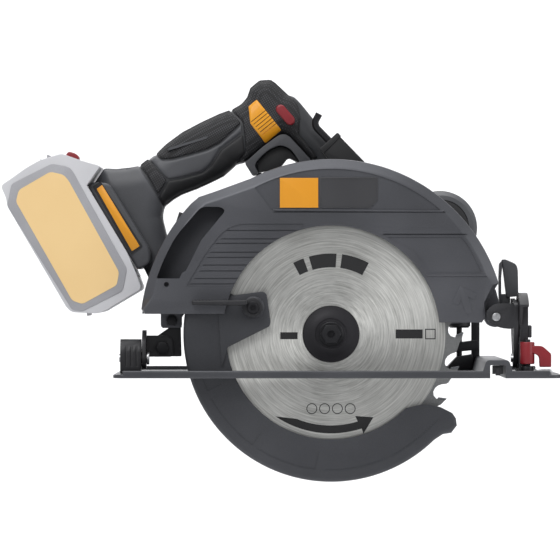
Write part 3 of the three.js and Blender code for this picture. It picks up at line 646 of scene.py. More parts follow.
def bar_of(a: Point, b: Point, half: float, corner: float = 0.0) -> list[Point]:
    """The outline of a straight bar between two points of the side view."""
    dx, dz = b[0] - a[0], b[1] - a[1]
    size = math.hypot(dx, dz) or 1.0
    nx, nz = -dz / size * half, dx / size * half
    low = [(a[0] - nx, a[1] - nz, corner), (b[0] - nx, b[1] - nz, corner)]
    return low + [(b[0] + nx, b[1] + nz, corner), (a[0] + nx, a[1] + nz, corner)]


def turned(
    profile: Sequence[tuple[float, float]],
    centre: tuple[float, float],
    steps: int = 96,
    upright: bool = False,
) -> Shape:
    """A shape turned about a line across the saw, or about an upright one.

    Args:
        profile: Points as (radius, depth or height), from the axis outwards and back to it.
        centre: The axis' place as (x, z), or as (x, y) of an upright one.
        steps: The number of sides.
        upright: Whether the line is upright.

    Returns:
        The turned shape.
    """
    shape = bmesh.new()
    places = [(r, 0.0, d) if upright else (r, d, 0.0) for r, d in profile]
    ring = [shape.verts.new([c * MM for c in place]) for place in places]
    edges = [shape.edges.new(ends) for ends in zip(ring, ring[1:])]
    bmesh.ops.spin(
        shape,
        geom=ring + edges,
        cent=(0, 0, 0),
        axis=(0, 0, 1) if upright else (0, 1, 0),
        angle=math.tau,
        steps=steps,
        use_merge=True,
        use_duplicate=False,
    )
    bmesh.ops.remove_doubles(shape, verts=shape.verts[:], dist=1e-6)
    bmesh.ops.recalc_face_normals(shape, faces=shape.faces[:])
    move(shape, (*centre, 0.0) if upright else (centre[0], 0.0, centre[1]))
    return shape


def move(shape: Shape, by: Point) -> None:
    """Shift a whole shape by millimetres."""
    bmesh.ops.translate(shape, vec=[b * MM for b in by], verts=shape.verts[:])


def turn(shape: Shape, degrees: float, about: Point, axis: str = "Y") -> None:
    """Turn a whole shape about a line through a point, in millimetres."""
    bmesh.ops.rotate(
        shape,
        cent=[a * MM for a in about],
        matrix=Matrix.Rotation(math.radians(degrees), 3, axis),
        verts=shape.verts[:],
    )


def box_of(x0: float, x1: float, y0: float, y1: float, z0: float, z1: float) -> Shape:
    """A block between two corners in millimetres."""
    shape = bmesh.new()
    bmesh.ops.create_cube(shape, size=1.0)
    size = ((x1 - x0) * MM, (y1 - y0) * MM, (z1 - z0) * MM)
    bmesh.ops.scale(shape, vec=size, verts=shape.verts[:])
    move(shape, ((x0 + x1) / 2, (y0 + y1) / 2, (z0 + z1) / 2))
    return shape


def gather(shapes: Iterable[Shape]) -> Shape:
    """Put several shapes in one mesh."""
    whole = bmesh.new()
    for shape in shapes:
        held = bpy.data.meshes.new("held")
        shape.to_mesh(held)
        whole.from_mesh(held)
        bpy.data.meshes.remove(held)
        shape.free()
    return whole


def sector_points(
    radius: float, start: float, end: float, steps: int, centre: tuple[float, float] = SPINDLE
) -> list[tuple[float, float]]:
    """Points along an arc of the side view, from one angle to another in degrees."""
    angles = [math.radians(start + (end - start) * i / steps) for i in range(steps + 1)]
    return [(centre[0] + radius * math.cos(a), centre[1] + radius * math.sin(a)) for a in angles]


def settle(
    name: str,
    shape: Shape,
    material: Union[bpy.types.Material, Sequence[bpy.types.Material]],
    smooth: float = 32.0,
) -> Piece:
    """Make the finished object of a shape.

    Args:
        name: The piece's name.
        shape: Its mesh, which is used up.
        material: Its finish, or one for each material index.
        smooth: The turn in degrees up to which faces shade as one surface.

    Returns:
        The object.
    """
    mesh = bpy.data.meshes.new(name)
    shape.to_mesh(mesh)
    shape.free()
    for one in material if isinstance(material, (list, tuple)) else [material]:
        mesh.materials.append(one)
    mesh.polygons.foreach_set("use_smooth", [True] * len(mesh.polygons))
    mesh.set_sharp_from_angle(angle=math.radians(smooth))
    piece = bpy.data.objects.new(name, mesh)
    bpy.context.scene.collection.objects.link(piece)
    return piece


def cut_away(piece: Piece, cutter: Shape, union: bool = False) -> None:
    """Cut one shape out of a finished piece, or join it on.

    Args:
        piece: The piece.
        cutter: What is cut out, which is used up.
        union: Join instead of cut.
    """
    tool = settle("cutter", cutter, [])
    change = piece.modifiers.new("cut", "BOOLEAN")
    change.object = tool
    change.operation = "UNION" if union else "DIFFERENCE"
    change.solver = "EXACT"
    bake(piece)
    bpy.data.objects.remove(tool)


def bake(piece: Piece, smooth: float = 32.0) -> None:
    """Make a piece's modifiers part of its mesh."""
    held = piece.evaluated_get(bpy.context.evaluated_depsgraph_get())
    mesh = bpy.data.meshes.new_from_object(held)
    old = piece.data
    piece.modifiers.clear()
    piece.data = mesh
    mesh.name = piece.name
    bpy.data.meshes.remove(old)
    mesh.polygons.foreach_set("use_smooth", [True] * len(mesh.polygons))
    mesh.set_sharp_from_angle(angle=math.radians(smooth))


# ---------------------------------------------------------------- frame pieces that stay


def smoothing_group() -> Tree:
    """A node group that shades faces smooth and keeps edges that turn more than 32 degrees sharp.
    """
    group = bpy.data.node_groups.new("smooth_shallow_edges", "GeometryNodeTree")
    for way in ("INPUT", "OUTPUT"):
        group.interface.new_socket("Geometry", in_out=way, socket_type="NodeSocketGeometry")
    start = group.nodes.new("NodeGroupInput")
    end = group.nodes.new("NodeGroupOutput")
    angle = group.nodes.new("GeometryNodeInputMeshEdgeAngle")
    shallow = group.nodes.new("FunctionNodeCompare")
    shallow.operation = "LESS_EQUAL"
    shallow.inputs[1].default_value = math.radians(32)
    faces = group.nodes.new("GeometryNodeSetShadeSmooth")
    edges = group.nodes.new("GeometryNodeSetShadeSmooth")
    edges.domain = "EDGE"
    sharp = group.nodes.new("FunctionNodeBooleanMath")
    sharp.operation = "NOT"
    link = group.links.new
    link(start.outputs[0], faces.inputs[0])
    link(angle.outputs[0], shallow.inputs[0])
    link(faces.outputs[0], edges.inputs[0])
    link(shallow.outputs[0], sharp.inputs[0])
    link(sharp.outputs[0], edges.inputs["Selection"])
    edges.inputs["Shade Smooth"].default_value = False
    link(edges.outputs[0], end.inputs[0])
    return group


class FramePieces:
    """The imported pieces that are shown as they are, with edges broken and finishes put on."""

    edge = 0.35
    welding = 1e-5

    def __init__(self, finishes: dict[str, bpy.types.Material]) -> None:
        """Keep the finishes and make the shared node group."""
        self.finishes = finishes
        self.group = smoothing_group()

    def dress(self) -> None:
        """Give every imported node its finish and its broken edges."""
        record = frame["record"]
        by_node = {row["node"]: SLOT_FINISH[row["material_slot"]] for row in record["subparts"]}
        by_node.update(NODE_FINISH)
        for name, piece in frame["nodes"].items():
            finish = self.finishes[by_node.get(name, "housing")]
            piece.data.materials.clear()
            piece.data.materials.append(finish)
            weld = piece.modifiers.new("weld", "WELD")
            weld.merge_threshold = self.welding
            broken = piece.modifiers.new("broken_edges", "BEVEL")
            broken.width = self.edge * MM
            broken.segments = 2
            broken.limit_method = "ANGLE"
            broken.angle_limit = math.radians(38)
            smooth = piece.modifiers.new("smooth", "NODES")
            smooth.node_group = self.group
        log.info("dressed %d frame pieces", len(frame["nodes"]))


# ---------------------------------------------------------------- blade and its fastening

Built = tuple[Piece, str, str, tuple[str, ...]]


@dataclass
class SubAssembly:
    """A group of pieces that are built and dressed together.

    Attributes:
        finishes: The saw's finishes by name.
    """

    finishes: dict[str, bpy.types.Material]

    def build(self) -> list[Built]:
        """Make the pieces: each with its body, its slot and the nodes it stands for."""
        return []


def around(radius: float, angle: float, centre: tuple[float, float] = SPINDLE) -> tuple[
    float, float
]:
    """The place at a radius and an angle in degrees, in the side view."""
    a = math.radians(angle)
    return (centre[0] + radius * math.cos(a), centre[1] + radius * math.sin(a))


def prism(
    sides: int, radius: float, near: float, far: float, centre: tuple[
        float, float
    ], edge: float = 0.0
) -> Shape:
    """An even sided bar across the saw with its near edges broken."""
    outline = [around(radius, 360 * i / sides, centre) for i in range(sides)]
    return plate(outline, near, far, near_edge=edge)


@dataclass
class Blade(SubAssembly):
    """The toothed blade, its flange and its bolt."""

    radius: float = 95.0
    teeth: int = 24
    bright: float = 82.3
    bore: float = 8.2
    half: float = 0.9

    def build(self) -> list[Built]:
        """Make the blade and what holds it."""
        return [
            (self.saw_blade(), "spindle_group", "blade_steel", ("saw_blade",)),
            (self.tips(), "spindle_group", "blade_steel", ()),
            (self.print(), "spindle_group", "blade_steel", ()),
            (self.outer_flange(), "spindle_group", "black_steel", ("outer_flange",)),
            (self.bolt(), "spindle_group", "black_steel", ("blade_bolt",)),
        ]

    def tooth(self, tip: float) -> list[tuple[float, float]]:
        """One tooth's side view, from its tip round the gullet ahead of it."""
        steps = [
            (95.0, 0.0), (89.2, -1.5), (86.2, -0.9), (84.6, 0.6), (84.4, 2.4), (85.4, 4.2),
            (87.6, 5.6), (90.4, 6.6), (91.6, 7.6), (92.0, 9.0), (92.7, 11.0), (94.2, 12.6),
        ]
        return [around(radius, tip + angle) for radius, angle in steps]

    def saw_blade(self) -> Piece:
        """The steel plate: a sanded toothed rim with a ring ground middle."""
        step = 360 / self.teeth
        outline = [p for i in range(self.teeth) for p in self.tooth(i * step)]
        near, far = BLADE_Y - self.half, BLADE_Y + self.half
        rim = plate(outline, near + 0.06, far - 0.06)
        soften(rim, 0.12, 1)
        middle = turned(
            [
                (self.bore, near),
                (self.bright, near),
                (self.bright + 0.3, near + 0.2),
                (self.bright + 0.3, far - 0.2),
                (self.bright, far),
                (self.bore, far),
                (self.bore, near),
            ],
            SPINDLE,
            128,
        )
        piece = settle("blade_plate", rim, [self.finishes["rim"]])
        cut_away(piece, turned([(0, -60), (81.0, -60), (81.0, -30), (0, -30)], SPINDLE, 128))
        disc = settle("blade_middle", middle, [self.finishes["blade"]])
        return merge("saw_blade_fine", [piece, disc])

    def tips(self) -> Piece:
        """Carbide tips brazed in the seats of the teeth."""
        step = 360 / self.teeth
        shapes = []
        for i in range(self.teeth):
            tip = i * step
            outline = [around(95.3, tip + 0.05), around(89.6, tip - 1.35), around(89.8, tip - 0.45)]
            outline.append(around(95.3, tip + 0.95))
            shape = plate(outline, BLADE_Y - 1.35, BLADE_Y + 1.35)
            soften(shape, 0.15, 1)
            shapes.append(shape)
        return settle("blade_tips", gather(shapes), self.finishes["carbide"])

    def print(self) -> Piece:
        """Generic print on the plate: a turning arrow, plain bars and rings."""
        near = BLADE_Y - self.half - 0.05
        arrow = sector_points(71.5, 236, 288, 16) + [around(75.5, 288), around(67.2, 297)]
        arrow += [around(61.5, 286.5), around(65.8, 287)] + sector_points(65.8, 287, 248, 12)
        bars = [arrow]
        for start, end in ((62, 82), (86, 106), (110, 118)):
            bars.append(sector_points(58, start, end, 8) + sector_points(48, end, start, 8))
        for x0, x1, z0, z1 in ((46.5, 66.0, 28.0, 34.5), (-36.5, -24.0, 27.5, 32.5)):
            bars.append([(x0, z0), (x1, z0), (x1, z1), (x0, z1)])
        shapes = [plate(outline, near, near + 0.06) for outline in bars]
        shapes.append(frame_of(71.5, 31.2, 7.5, 0.7, near))
        for x in (-15.0, -5.0, 5.0, 15.0):
            shapes.append(ring(3.9, 3.3, near, near + 0.06, (x * 0.92, -22.5)))
        return settle("blade_print", gather(shapes), self.finishes["ink"])

    def outer_flange(self) -> Piece:
        """The turned clamping flange with its stepped face."""
        profile = [
            (4.2, -45.2), (20.2, -45.2), (20.5, -45.6), (20.5, -47.2), (19.9, -47.9), (15.2, -48.7),
            (14.6, -49.0), (11.6, -49.4), (11.0, -49.1), (10.2, -49.1), (9.9, -49.4), (4.2, -49.4),
            (4.2, -45.2),
        ]
        return settle("flange_face", turned(profile, SPINDLE, 96), self.finishes["hub"])

    def bolt(self) -> Piece:
        """The flanged hexagon bolt with its key socket."""
        washer = turned(
            [(0, -49.7), (9.0, -49.7), (9.0, -50.5), (8.3, -51.0), (0, -51.2)], SPINDLE, 64
        )
        head = prism(6, 7.5, -55.9, -50.9, SPINDLE, 0.5)
        piece = settle("clamping_bolt", head, self.finishes["oxide"])
        cut_away(piece, prism(6, 2.9, -60.0, -52.6, SPINDLE))
        ring_part = settle("clamping_washer", washer, self.finishes["oxide"])
        return merge("clamping_bolt", [piece, ring_part])


def merge(name: str, pieces: Sequence[Piece]) -> Piece:
    """Put finished pieces into one, with all their finishes."""
    whole = bmesh.new()
    slots: list[bpy.types.Material] = []
    for piece in pieces:
        base = len(slots)
        slots += list(piece.data.materials)
        count = len(whole.faces)
        whole.from_mesh(piece.data)
        whole.faces.ensure_lookup_table()
        for face in whole.faces[count:]:
            face.material_index += base
    for piece in pieces:
        old = piece.data
        bpy.data.objects.remove(piece)
        bpy.data.meshes.remove(old)
    return settle(name, whole, slots)


def ring(
    outer: float, inner: float, near: float, far: float, centre: tuple[
        float, float
    ], steps: int = 32
) -> Shape:
    """A flat ring across the saw."""
    profile = [(inner, near), (outer, near), (outer, far), (inner, far), (inner, near)]
    return turned(profile, centre, steps)


def frame_of(x: float, z: float, size: float, line: float, near: float) -> Shape:
    """A thin square border printed round a place."""
    half = size / 2
    bars = []
    for x0, x1, z0, z1 in (
        (x - half, x + half, z + half - line, z + half),
        (x - half, x + half, z - half, z - half + line),
        (x - half, x - half + line, z - half, z + half),
        (x + half - line, x + half, z - half, z + half),
    ):
        bars.append(box_of(x0, x1, near, near + 0.06, z0, z1))
    return gather(bars)


# ---------------------------------------------------------------- guards


@dataclass
class UpperGuard(SubAssembly):
    """The cast cover over the blade, with its panels, louvres and labels."""

    face: float = -57.5
    seam: float = -33.3
    wall: float = 2.5
    round_radius: float = 125.8
    bulge: float = 137.5
    window: float = 78.0

    def build(self) -> list[Built]:
        """Make the cover and its labels."""
        return [
            (self.cover(), "saw_body", "guard_enamel", ("upper_guard",)),
            (self.mark(), "saw_body", "guard_enamel", ()),
            (self.label(), "saw_body", "yellow_plastic", ()),
            (self.plain_plate(), "saw_body", "black_plastic", ()),
        ]

    def outline(self, inset: float = 0.0, drop: float = 0.0) -> list[tuple[float, float]]:
        """The cover's side view, shrunk by an inset and let down at its mouth."""
        outer, bulge = self.round_radius - inset, self.bulge - inset
        window = self.window if inset == 0 else self.window - 40
        points = sector_points(window, 6.2, 169.2, 72)
        points[0], points[-1] = (points[0][0], 39.6 - drop), (points[-1][0], 45.8 - drop)
        points.append((-135.4 + inset + 1.5, 45.8 - drop))
        points += sector_points(bulge, 172.5, 137, 18)
        points += [(-95.0 + inset * 0.6, 129.7 - inset * 0.8), (-84.5, 133.2 - inset)]
        points += sector_points(outer, 117.4, 17, 60)
        points += [
            (111.9 - inset, 54.5), (110.4 - inset, 43.0 - drop), (108.0 - inset, 39.6 - drop),
        ]
        return points

    def cover(self) -> Piece:
        """The cast shell, hollow, open below and where the blade shows."""
        shape = face_of(self.outline(), self.seam)
        depth = self.seam
        for height, inset in ((5.2, 0.0), (4.2, 0.35), (0.9, 5.6), (0.2, 6.6), (0.0, 7.6)):
            self.next_layer(shape, self.face + height - depth, inset)
            depth = self.face + height
        bmesh.ops.recalc_face_normals(shape, faces=shape.faces[:])
        soften(shape, 0.5, 2, on_side(self.face), 60)
        piece = settle("guard_cover", shape, self.finishes["guard"])
        hollow = plate(self.outline(self.wall, 30), self.face + self.wall, self.seam + 1)
        soften(hollow, 4.5, 3, on_side(self.face + self.wall), 30)
        cut_away(piece, hollow)
        chips = [
            (-93.1, 122.6, 3), (-79.5, 122.6, 2), (-75.7, 119.9, 2), (-93.1, 98.7, 1),
            (-104.2, 76.7, 0.5), (-106.9, 75.3, 0.5), (-108.8, 71.2, 0.5), (-125.3, 71.2, 1),
            (-120.5, 84.0, 6), (-111.5, 101.5, 6),
        ]
        cut_away(piece, plate(chips, self.face - 2, self.face + 9))
        cut_away(piece, turned([(0, -70), (1.8, -70), (1.8, -50), (0, -50)], (-118.1, 66.9), 24))
        cut_away(piece, self.panels())
        cut_away(piece, self.grooves())
        return piece

    def next_layer(self, shape: Shape, step: float, inset: float) -> None:
        """Draw the cover's end face on by one layer and slope its outer rim.

        Args:
            shape: The cover so far.
            step: How far the face moves, in millimetres.
            inset: How far in from the outline the rim lies at the new layer.
        """
        shape.faces.ensure_lookup_table()
        face = min(shape.faces, key=lambda f: f.calc_center_median().y)
        keep = len(shape.faces) == 1
        made = bmesh.ops.extrude_face_region(shape, geom=[face], use_keep_orig=keep)
        if not keep:
            bmesh.ops.delete(shape, geom=[face], context="FACES_ONLY")
        moved = verts_in(made)
        bmesh.ops.translate(shape, vec=(0, step * MM, 0), verts=moved)
        centre = Vector((0.0, 0.0, SPINDLE[1] * MM))
        for vert in moved:
            flat = Vector((vert.co.x, 0.0, vert.co.z)) - centre
            mouth, fade = (44.0, 30.0) if vert.co.x > 0 else (45.0, 14.0)
            share = min(max((vert.co.z / MM - mouth) / fade, 0.0), 1.0)
            whole = self.rim_reach(flat)
            if flat.length > 108 * MM and whole:
                vert.co -= flat.normalized() * (flat.length - (whole - inset * share) * MM)

    @cached_property
    def rim_line(self) -> tuple[tuple[float, ...], tuple[float, ...]]:
        """The outer rim as angles in degrees and reaches in millimetres from the spindle."""
        flat = [(x, z - SPINDLE[1]) for x, z in self.outline()]
        rows = sorted((math.degrees(math.atan2(z, x)), math.hypot(x, z)) for x, z in flat)
        return tuple(zip(*[row for row in rows if row[1] > 100]))

    def rim_reach(self, flat: Vector) -> float:
        """How far the rim lies from the spindle in a direction, or 0 under the spindle."""
        angle = math.degrees(math.atan2(flat.z, flat.x))
        return 0.0 if angle < 0 else float(np.interp(angle, *self.rim_line))

    def panels(self) -> Shape:
        """The shallow sunk fields of the face."""
        top = [(-42.6, 120.2), (79.0, 119.4), *sector_points(118.6, 47.8, 117.6, 30)]
        louvred = [
            (-104.0, 65.4, 1), (-95.6, 80.0, 8), (-86.5, 94.5, 8), (-76.0, 106.5, 5),
            (-66.0, 110.4, 5), (-20.0, 110.4, 1), (-20.0, 100.0, 0), (-60.0, 66.0, 0),
            (-60.0, 65.4, 0),
        ]
        low = [
            (40.0, 101.0, 1), (93.5, 101.0, 1), (99.0, 94.0, 4), (108.5, 75.0, 2), (70.0, 75.0, 1),
            (60.0, 90.0, 0),
        ]
        fields = ((top, 0.9), (louvred, 0.8), (low, 0.7))
        return gather(plate(o, self.face - 4, self.face + depth) for o, depth in fields)

    def grooves(self) -> Shape:
        """The louvres' lines, cut deeper than the field they lie in."""
        lines = [
            (105.2, -75.7), (99.2, -80.0), (96.0, -83.6), (89.6, -87.5), (85.9, -89.5),
            (80.4, -92.6), (76.2, -95.0), (70.8, -98.6), (66.9, -101.9),
        ]
        shapes = []
        for z, left in lines:
            right = -math.sqrt(max(self.window**2 - (z - SPINDLE[1]) ** 2, 0)) + 6
            slot = [(left, z), (right, z - 0.1), (right, z + 0.9), (left + 1.5, z + 0.7)]
            shapes.append(plate(slot, self.face - 4, self.face + 1.7))
        for x0, x1, z in ((36.2, 97.0, 102.2), (-42.0, 80.5, 118.4)):
            slot = [(x0, z), (x1 + 2, z), (x1, z + 1.1), (x0 + 2, z + 1.1)]
            shapes.append(plate(slot, self.face - 4, self.face + 1.5))
        return gather(shapes)

    def mark(self) -> Piece:
        """Raised casting details: the turning arrow and two ridges."""
        arrow = [
            (0, 11), (9.5, 1.6), (6, -1.7), (2.6, 1.8), (2.6, -10), (-2.6, -10), (-2.6, 1.8),
            (-6, -1.7), (-9.5, 1.6),
        ]
        shape = plate(
            [(x + 96, z + 55.5) for x, z in arrow], self.face - 0.5, self.face + 0.4, 0.4, 0.25
        )
        turn(shape, -20, (96, 0, 55.5))
        ridge = plate(
            [(69.0, 72.6), (112.2, 72.6), (111.0, 74.0), (67.6, 74.0)],
            self.face - 0.6,
            self.face + 0.3,
        )
        soften(ridge, 0.3, 2, on_side(self.face - 0.6))
        upper = plate(
            [(-41, 119.6), (80, 118.7), (81, 120.0), (-42, 120.9)], self.face - 0.4, self.face + 1
        )
        soften(upper, 0.3, 2, on_side(self.face - 0.4))
        return settle("guard_casting_marks", gather([shape, ridge, upper]), self.finishes["guard"])

    def label(self) -> Piece:
        """A plain yellow label in the sunk field."""
        outline = [(-36.8, 121.9), (-9.3, 121.9), (-9.3, 143.3), (-36.8, 143.3)]
        shape = plate(outline, self.face + 0.1, self.face + 0.95, 0.3, 0.15)
        return settle("guard_label_yellow", shape, self.finishes["label"])

    def plain_plate(self) -> Piece:
        """A plain dark plate with one corner cut, in a fine raised border."""
        outline = [(-7.9, 121.7), (28.0, 121.7), (33.4, 127.0), (33.4, 143.7), (-7.9, 143.7)]
        shape = plate(outline, self.face + 0.2, self.face + 0.95, 0.8, 0.2)
        inner = [(-6.9, 122.7), (27.4, 122.7), (32.4, 127.6), (32.4, 142.7), (-6.9, 142.7)]
        piece = settle("guard_label_dark", shape, self.finishes["label_dark"])
        cut_away(piece, plate(inner, self.face - 1, self.face + 0.45, 0.8))
        return piece


@dataclass
class LowerGuard(SubAssembly):
    """The sprung guard under the sole, with its lifting tab."""

    near: float = -52.0
    far: float = -36.0
    outer: float = 106.2
    inner: float = 75.5
    front: float = -45.7
    rear: float = -202.0
    wall: float = 2.0

    def build(self) -> list[Built]:
        """Make the guard."""
        return [
            (self.shell(), "lower_guard_group", "guard_enamel", ("lower_guard",)),
            (self.lever(), "lower_guard_group", "black_steel", ("guard_lever",)),
            (self.screw(), "lower_guard_group", "black_steel", ("guard_lever_screw",)),
        ]

    def outline(self) -> list[tuple[float, float]]:
        """The guard's side view with its lip in front."""
        points = sector_points(self.outer, self.front, self.rear, 110)
        points += sector_points(self.inner, self.rear, self.front + 1, 80)
        lip = [
            (82.2, -38), (86.5, -35.8), (95.2, -33.7), (104.2, -33.1), (108.2, -34), (111.8, -36),
            (111.8, -39.4), (107.8, -41.9),
        ]
        return points + [around(radius, angle) for radius, angle in lip]

    def shell(self) -> Piece:
        """The guard's channel with its arm, hub boss and raised lines."""
        shape = plate(self.outline(), self.near, self.far)
        soften(shape, 2.6, 4, self.rim, 30)
        piece = settle("lower_guard_shell", shape, self.finishes["lower"])
        near, far, outer = self.near + self.wall, self.far - self.wall, self.outer - self.wall
        hollow = [(0, near), (outer, near), (outer, far), (0, far)]
        cut_away(piece, turned(hollow, SPINDLE, 128))
        arm = [
            (-78.5, 7.2, 1), (-75.0, 18.2, 1), (-74.5, 21.7, 2), (-44.3, 36.8, 3), (-43.4, 39.2, 2),
            (-46.3, 60.4, 2), (-49.1, 61.9, 2), (-71.3, 59.0, 3), (-81.5, 55.2, 1),
        ]
        tab = plate(arm, self.near - 1.2, self.near + 2, near_edge=1.0)
        cut_away(piece, tab, union=True)
        boss = turned(
            [(0, -60.0), (6.9, -60.0), (8.0, -58.9), (8.0, -50.0), (0, -50.0)], (-55.9, 50.3), 40
        )
        fan = sector_points(24.7, 150, 212, 14) + sector_points(77.5, 212, 150, 20)
        web = plate(fan, far, self.far)
        collar = ring(28.0, 22.4, far, self.far + 1.6, SPINDLE, 64)
        collar_piece = settle("collar", gather([boss, web, collar]), self.finishes["lower"])
        return merge("lower_guard_shell", [piece, collar_piece, self.lines()])

    def rim(self, edge: bmesh.types.BMEdge) -> bool:
        """Whether an edge runs along the outer rim on either side."""
        middle = (edge.verts[0].co + edge.verts[1].co) / 2
        reach = math.hypot(middle.x, middle.z - SPINDLE[1] * MM)
        return on_side(self.near, self.far)(edge) and reach > 100 * MM

    def lines(self) -> Piece:
        """Raised casting lines along the guard's face."""
        runs = [
            [(-92.5, -0.3), (-88.7, -9.5), (-78.6, -4.7)],
            [(-86.8, -15.3), *sector_points(97.7, 208.5, 234.5, 8), (-50.6, -39.9)],
            [(-52.5, -51.5), *sector_points(97.7, 238.0, 263.0, 8), (-8.7, -53.0)],
            [(-5.2, -66.6), *sector_points(97.5, 268.0, 293.5, 8)],
            [*sector_points(97.5, 297.0, 317.0, 6), (77.2, -30.7)],
        ]
        shapes = []
        for run in runs:
            for a, b in zip(run, run[1:]):
                shapes.append(plate(bar_of(a, b, 0.35), self.near - 0.3, self.near + 0.3))
        return settle("lower_guard_lines", gather(shapes), self.finishes["lower"])

    def lever(self) -> Piece:
        """The thumb lever that lifts the guard."""
        outline = [
            (-99.6, 52.4, 0.8), (-99.6, 55.6, 0.8), (-60.5, 55.9, 1), (-57.0, 57.9, 2),
            (-52.0, 56.5, 3), (-48.6, 50.3, 3), (-52.0, 44.0, 3), (-59.5, 43.2, 3),
            (-63.4, 47.5, 2), (-64.0, 51.6, 1),
        ]
        shape = plate(outline, -63.7, -60.3, near_edge=0.5, far_edge=0.3)
        blade = box_of(-99.6, -60.2, -72.2, -60.6, 52.3, 55.5)
        soften(blade, 0.8, 3)
        ribs = [box_of(x, x + 0.8, -71.6, -61.0, 55.3, 56.0) for x in (-97, -94.5, -92, -89.5, -87)]
        return settle("guard_thumb_lever", gather([shape, blade, *ribs]), self.finishes["bracket"])

    def screw(self) -> Piece:
        """The lever's cap screw with its socket."""
        centre = (-55.9, 50.3)
        profile = [(0, -64.0), (4.5, -64.0), (4.5, -66.6), (3.9, -67.3), (0, -67.3)]
        piece = settle("lever_cap_screw", turned(profile, centre, 40), self.finishes["oxide"])
        cut_away(piece, prism(6, 2.3, -70.0, -65.2, centre))
        return piece


# ---------------------------------------------------------------- handle


def edge_distance(places: np.ndarray, loops: Sequence[Sequence[Point]]) -> np.ndarray:
    """How far each place lies from the nearest side of some outlines.

    Args:
        places: Places as rows of x and z in millimetres.
        loops: The outlines.

    Returns:
        One distance in millimetres for each place.
    """
    best = np.full(len(places), 1e9)
    for loop in loops:
        corners = np.array([(p[0], p[1]) for p in loop], float)
        for a, b in zip(corners, np.roll(corners, -1, axis=0)):
            way = b - a
            share = np.clip(((places - a) @ way) / max(way @ way, 1e-9), 0, 1)
            gap = places - a - share[:, None] * way
            best = np.minimum(best, np.hypot(gap[:, 0], gap[:, 1]))
    return best


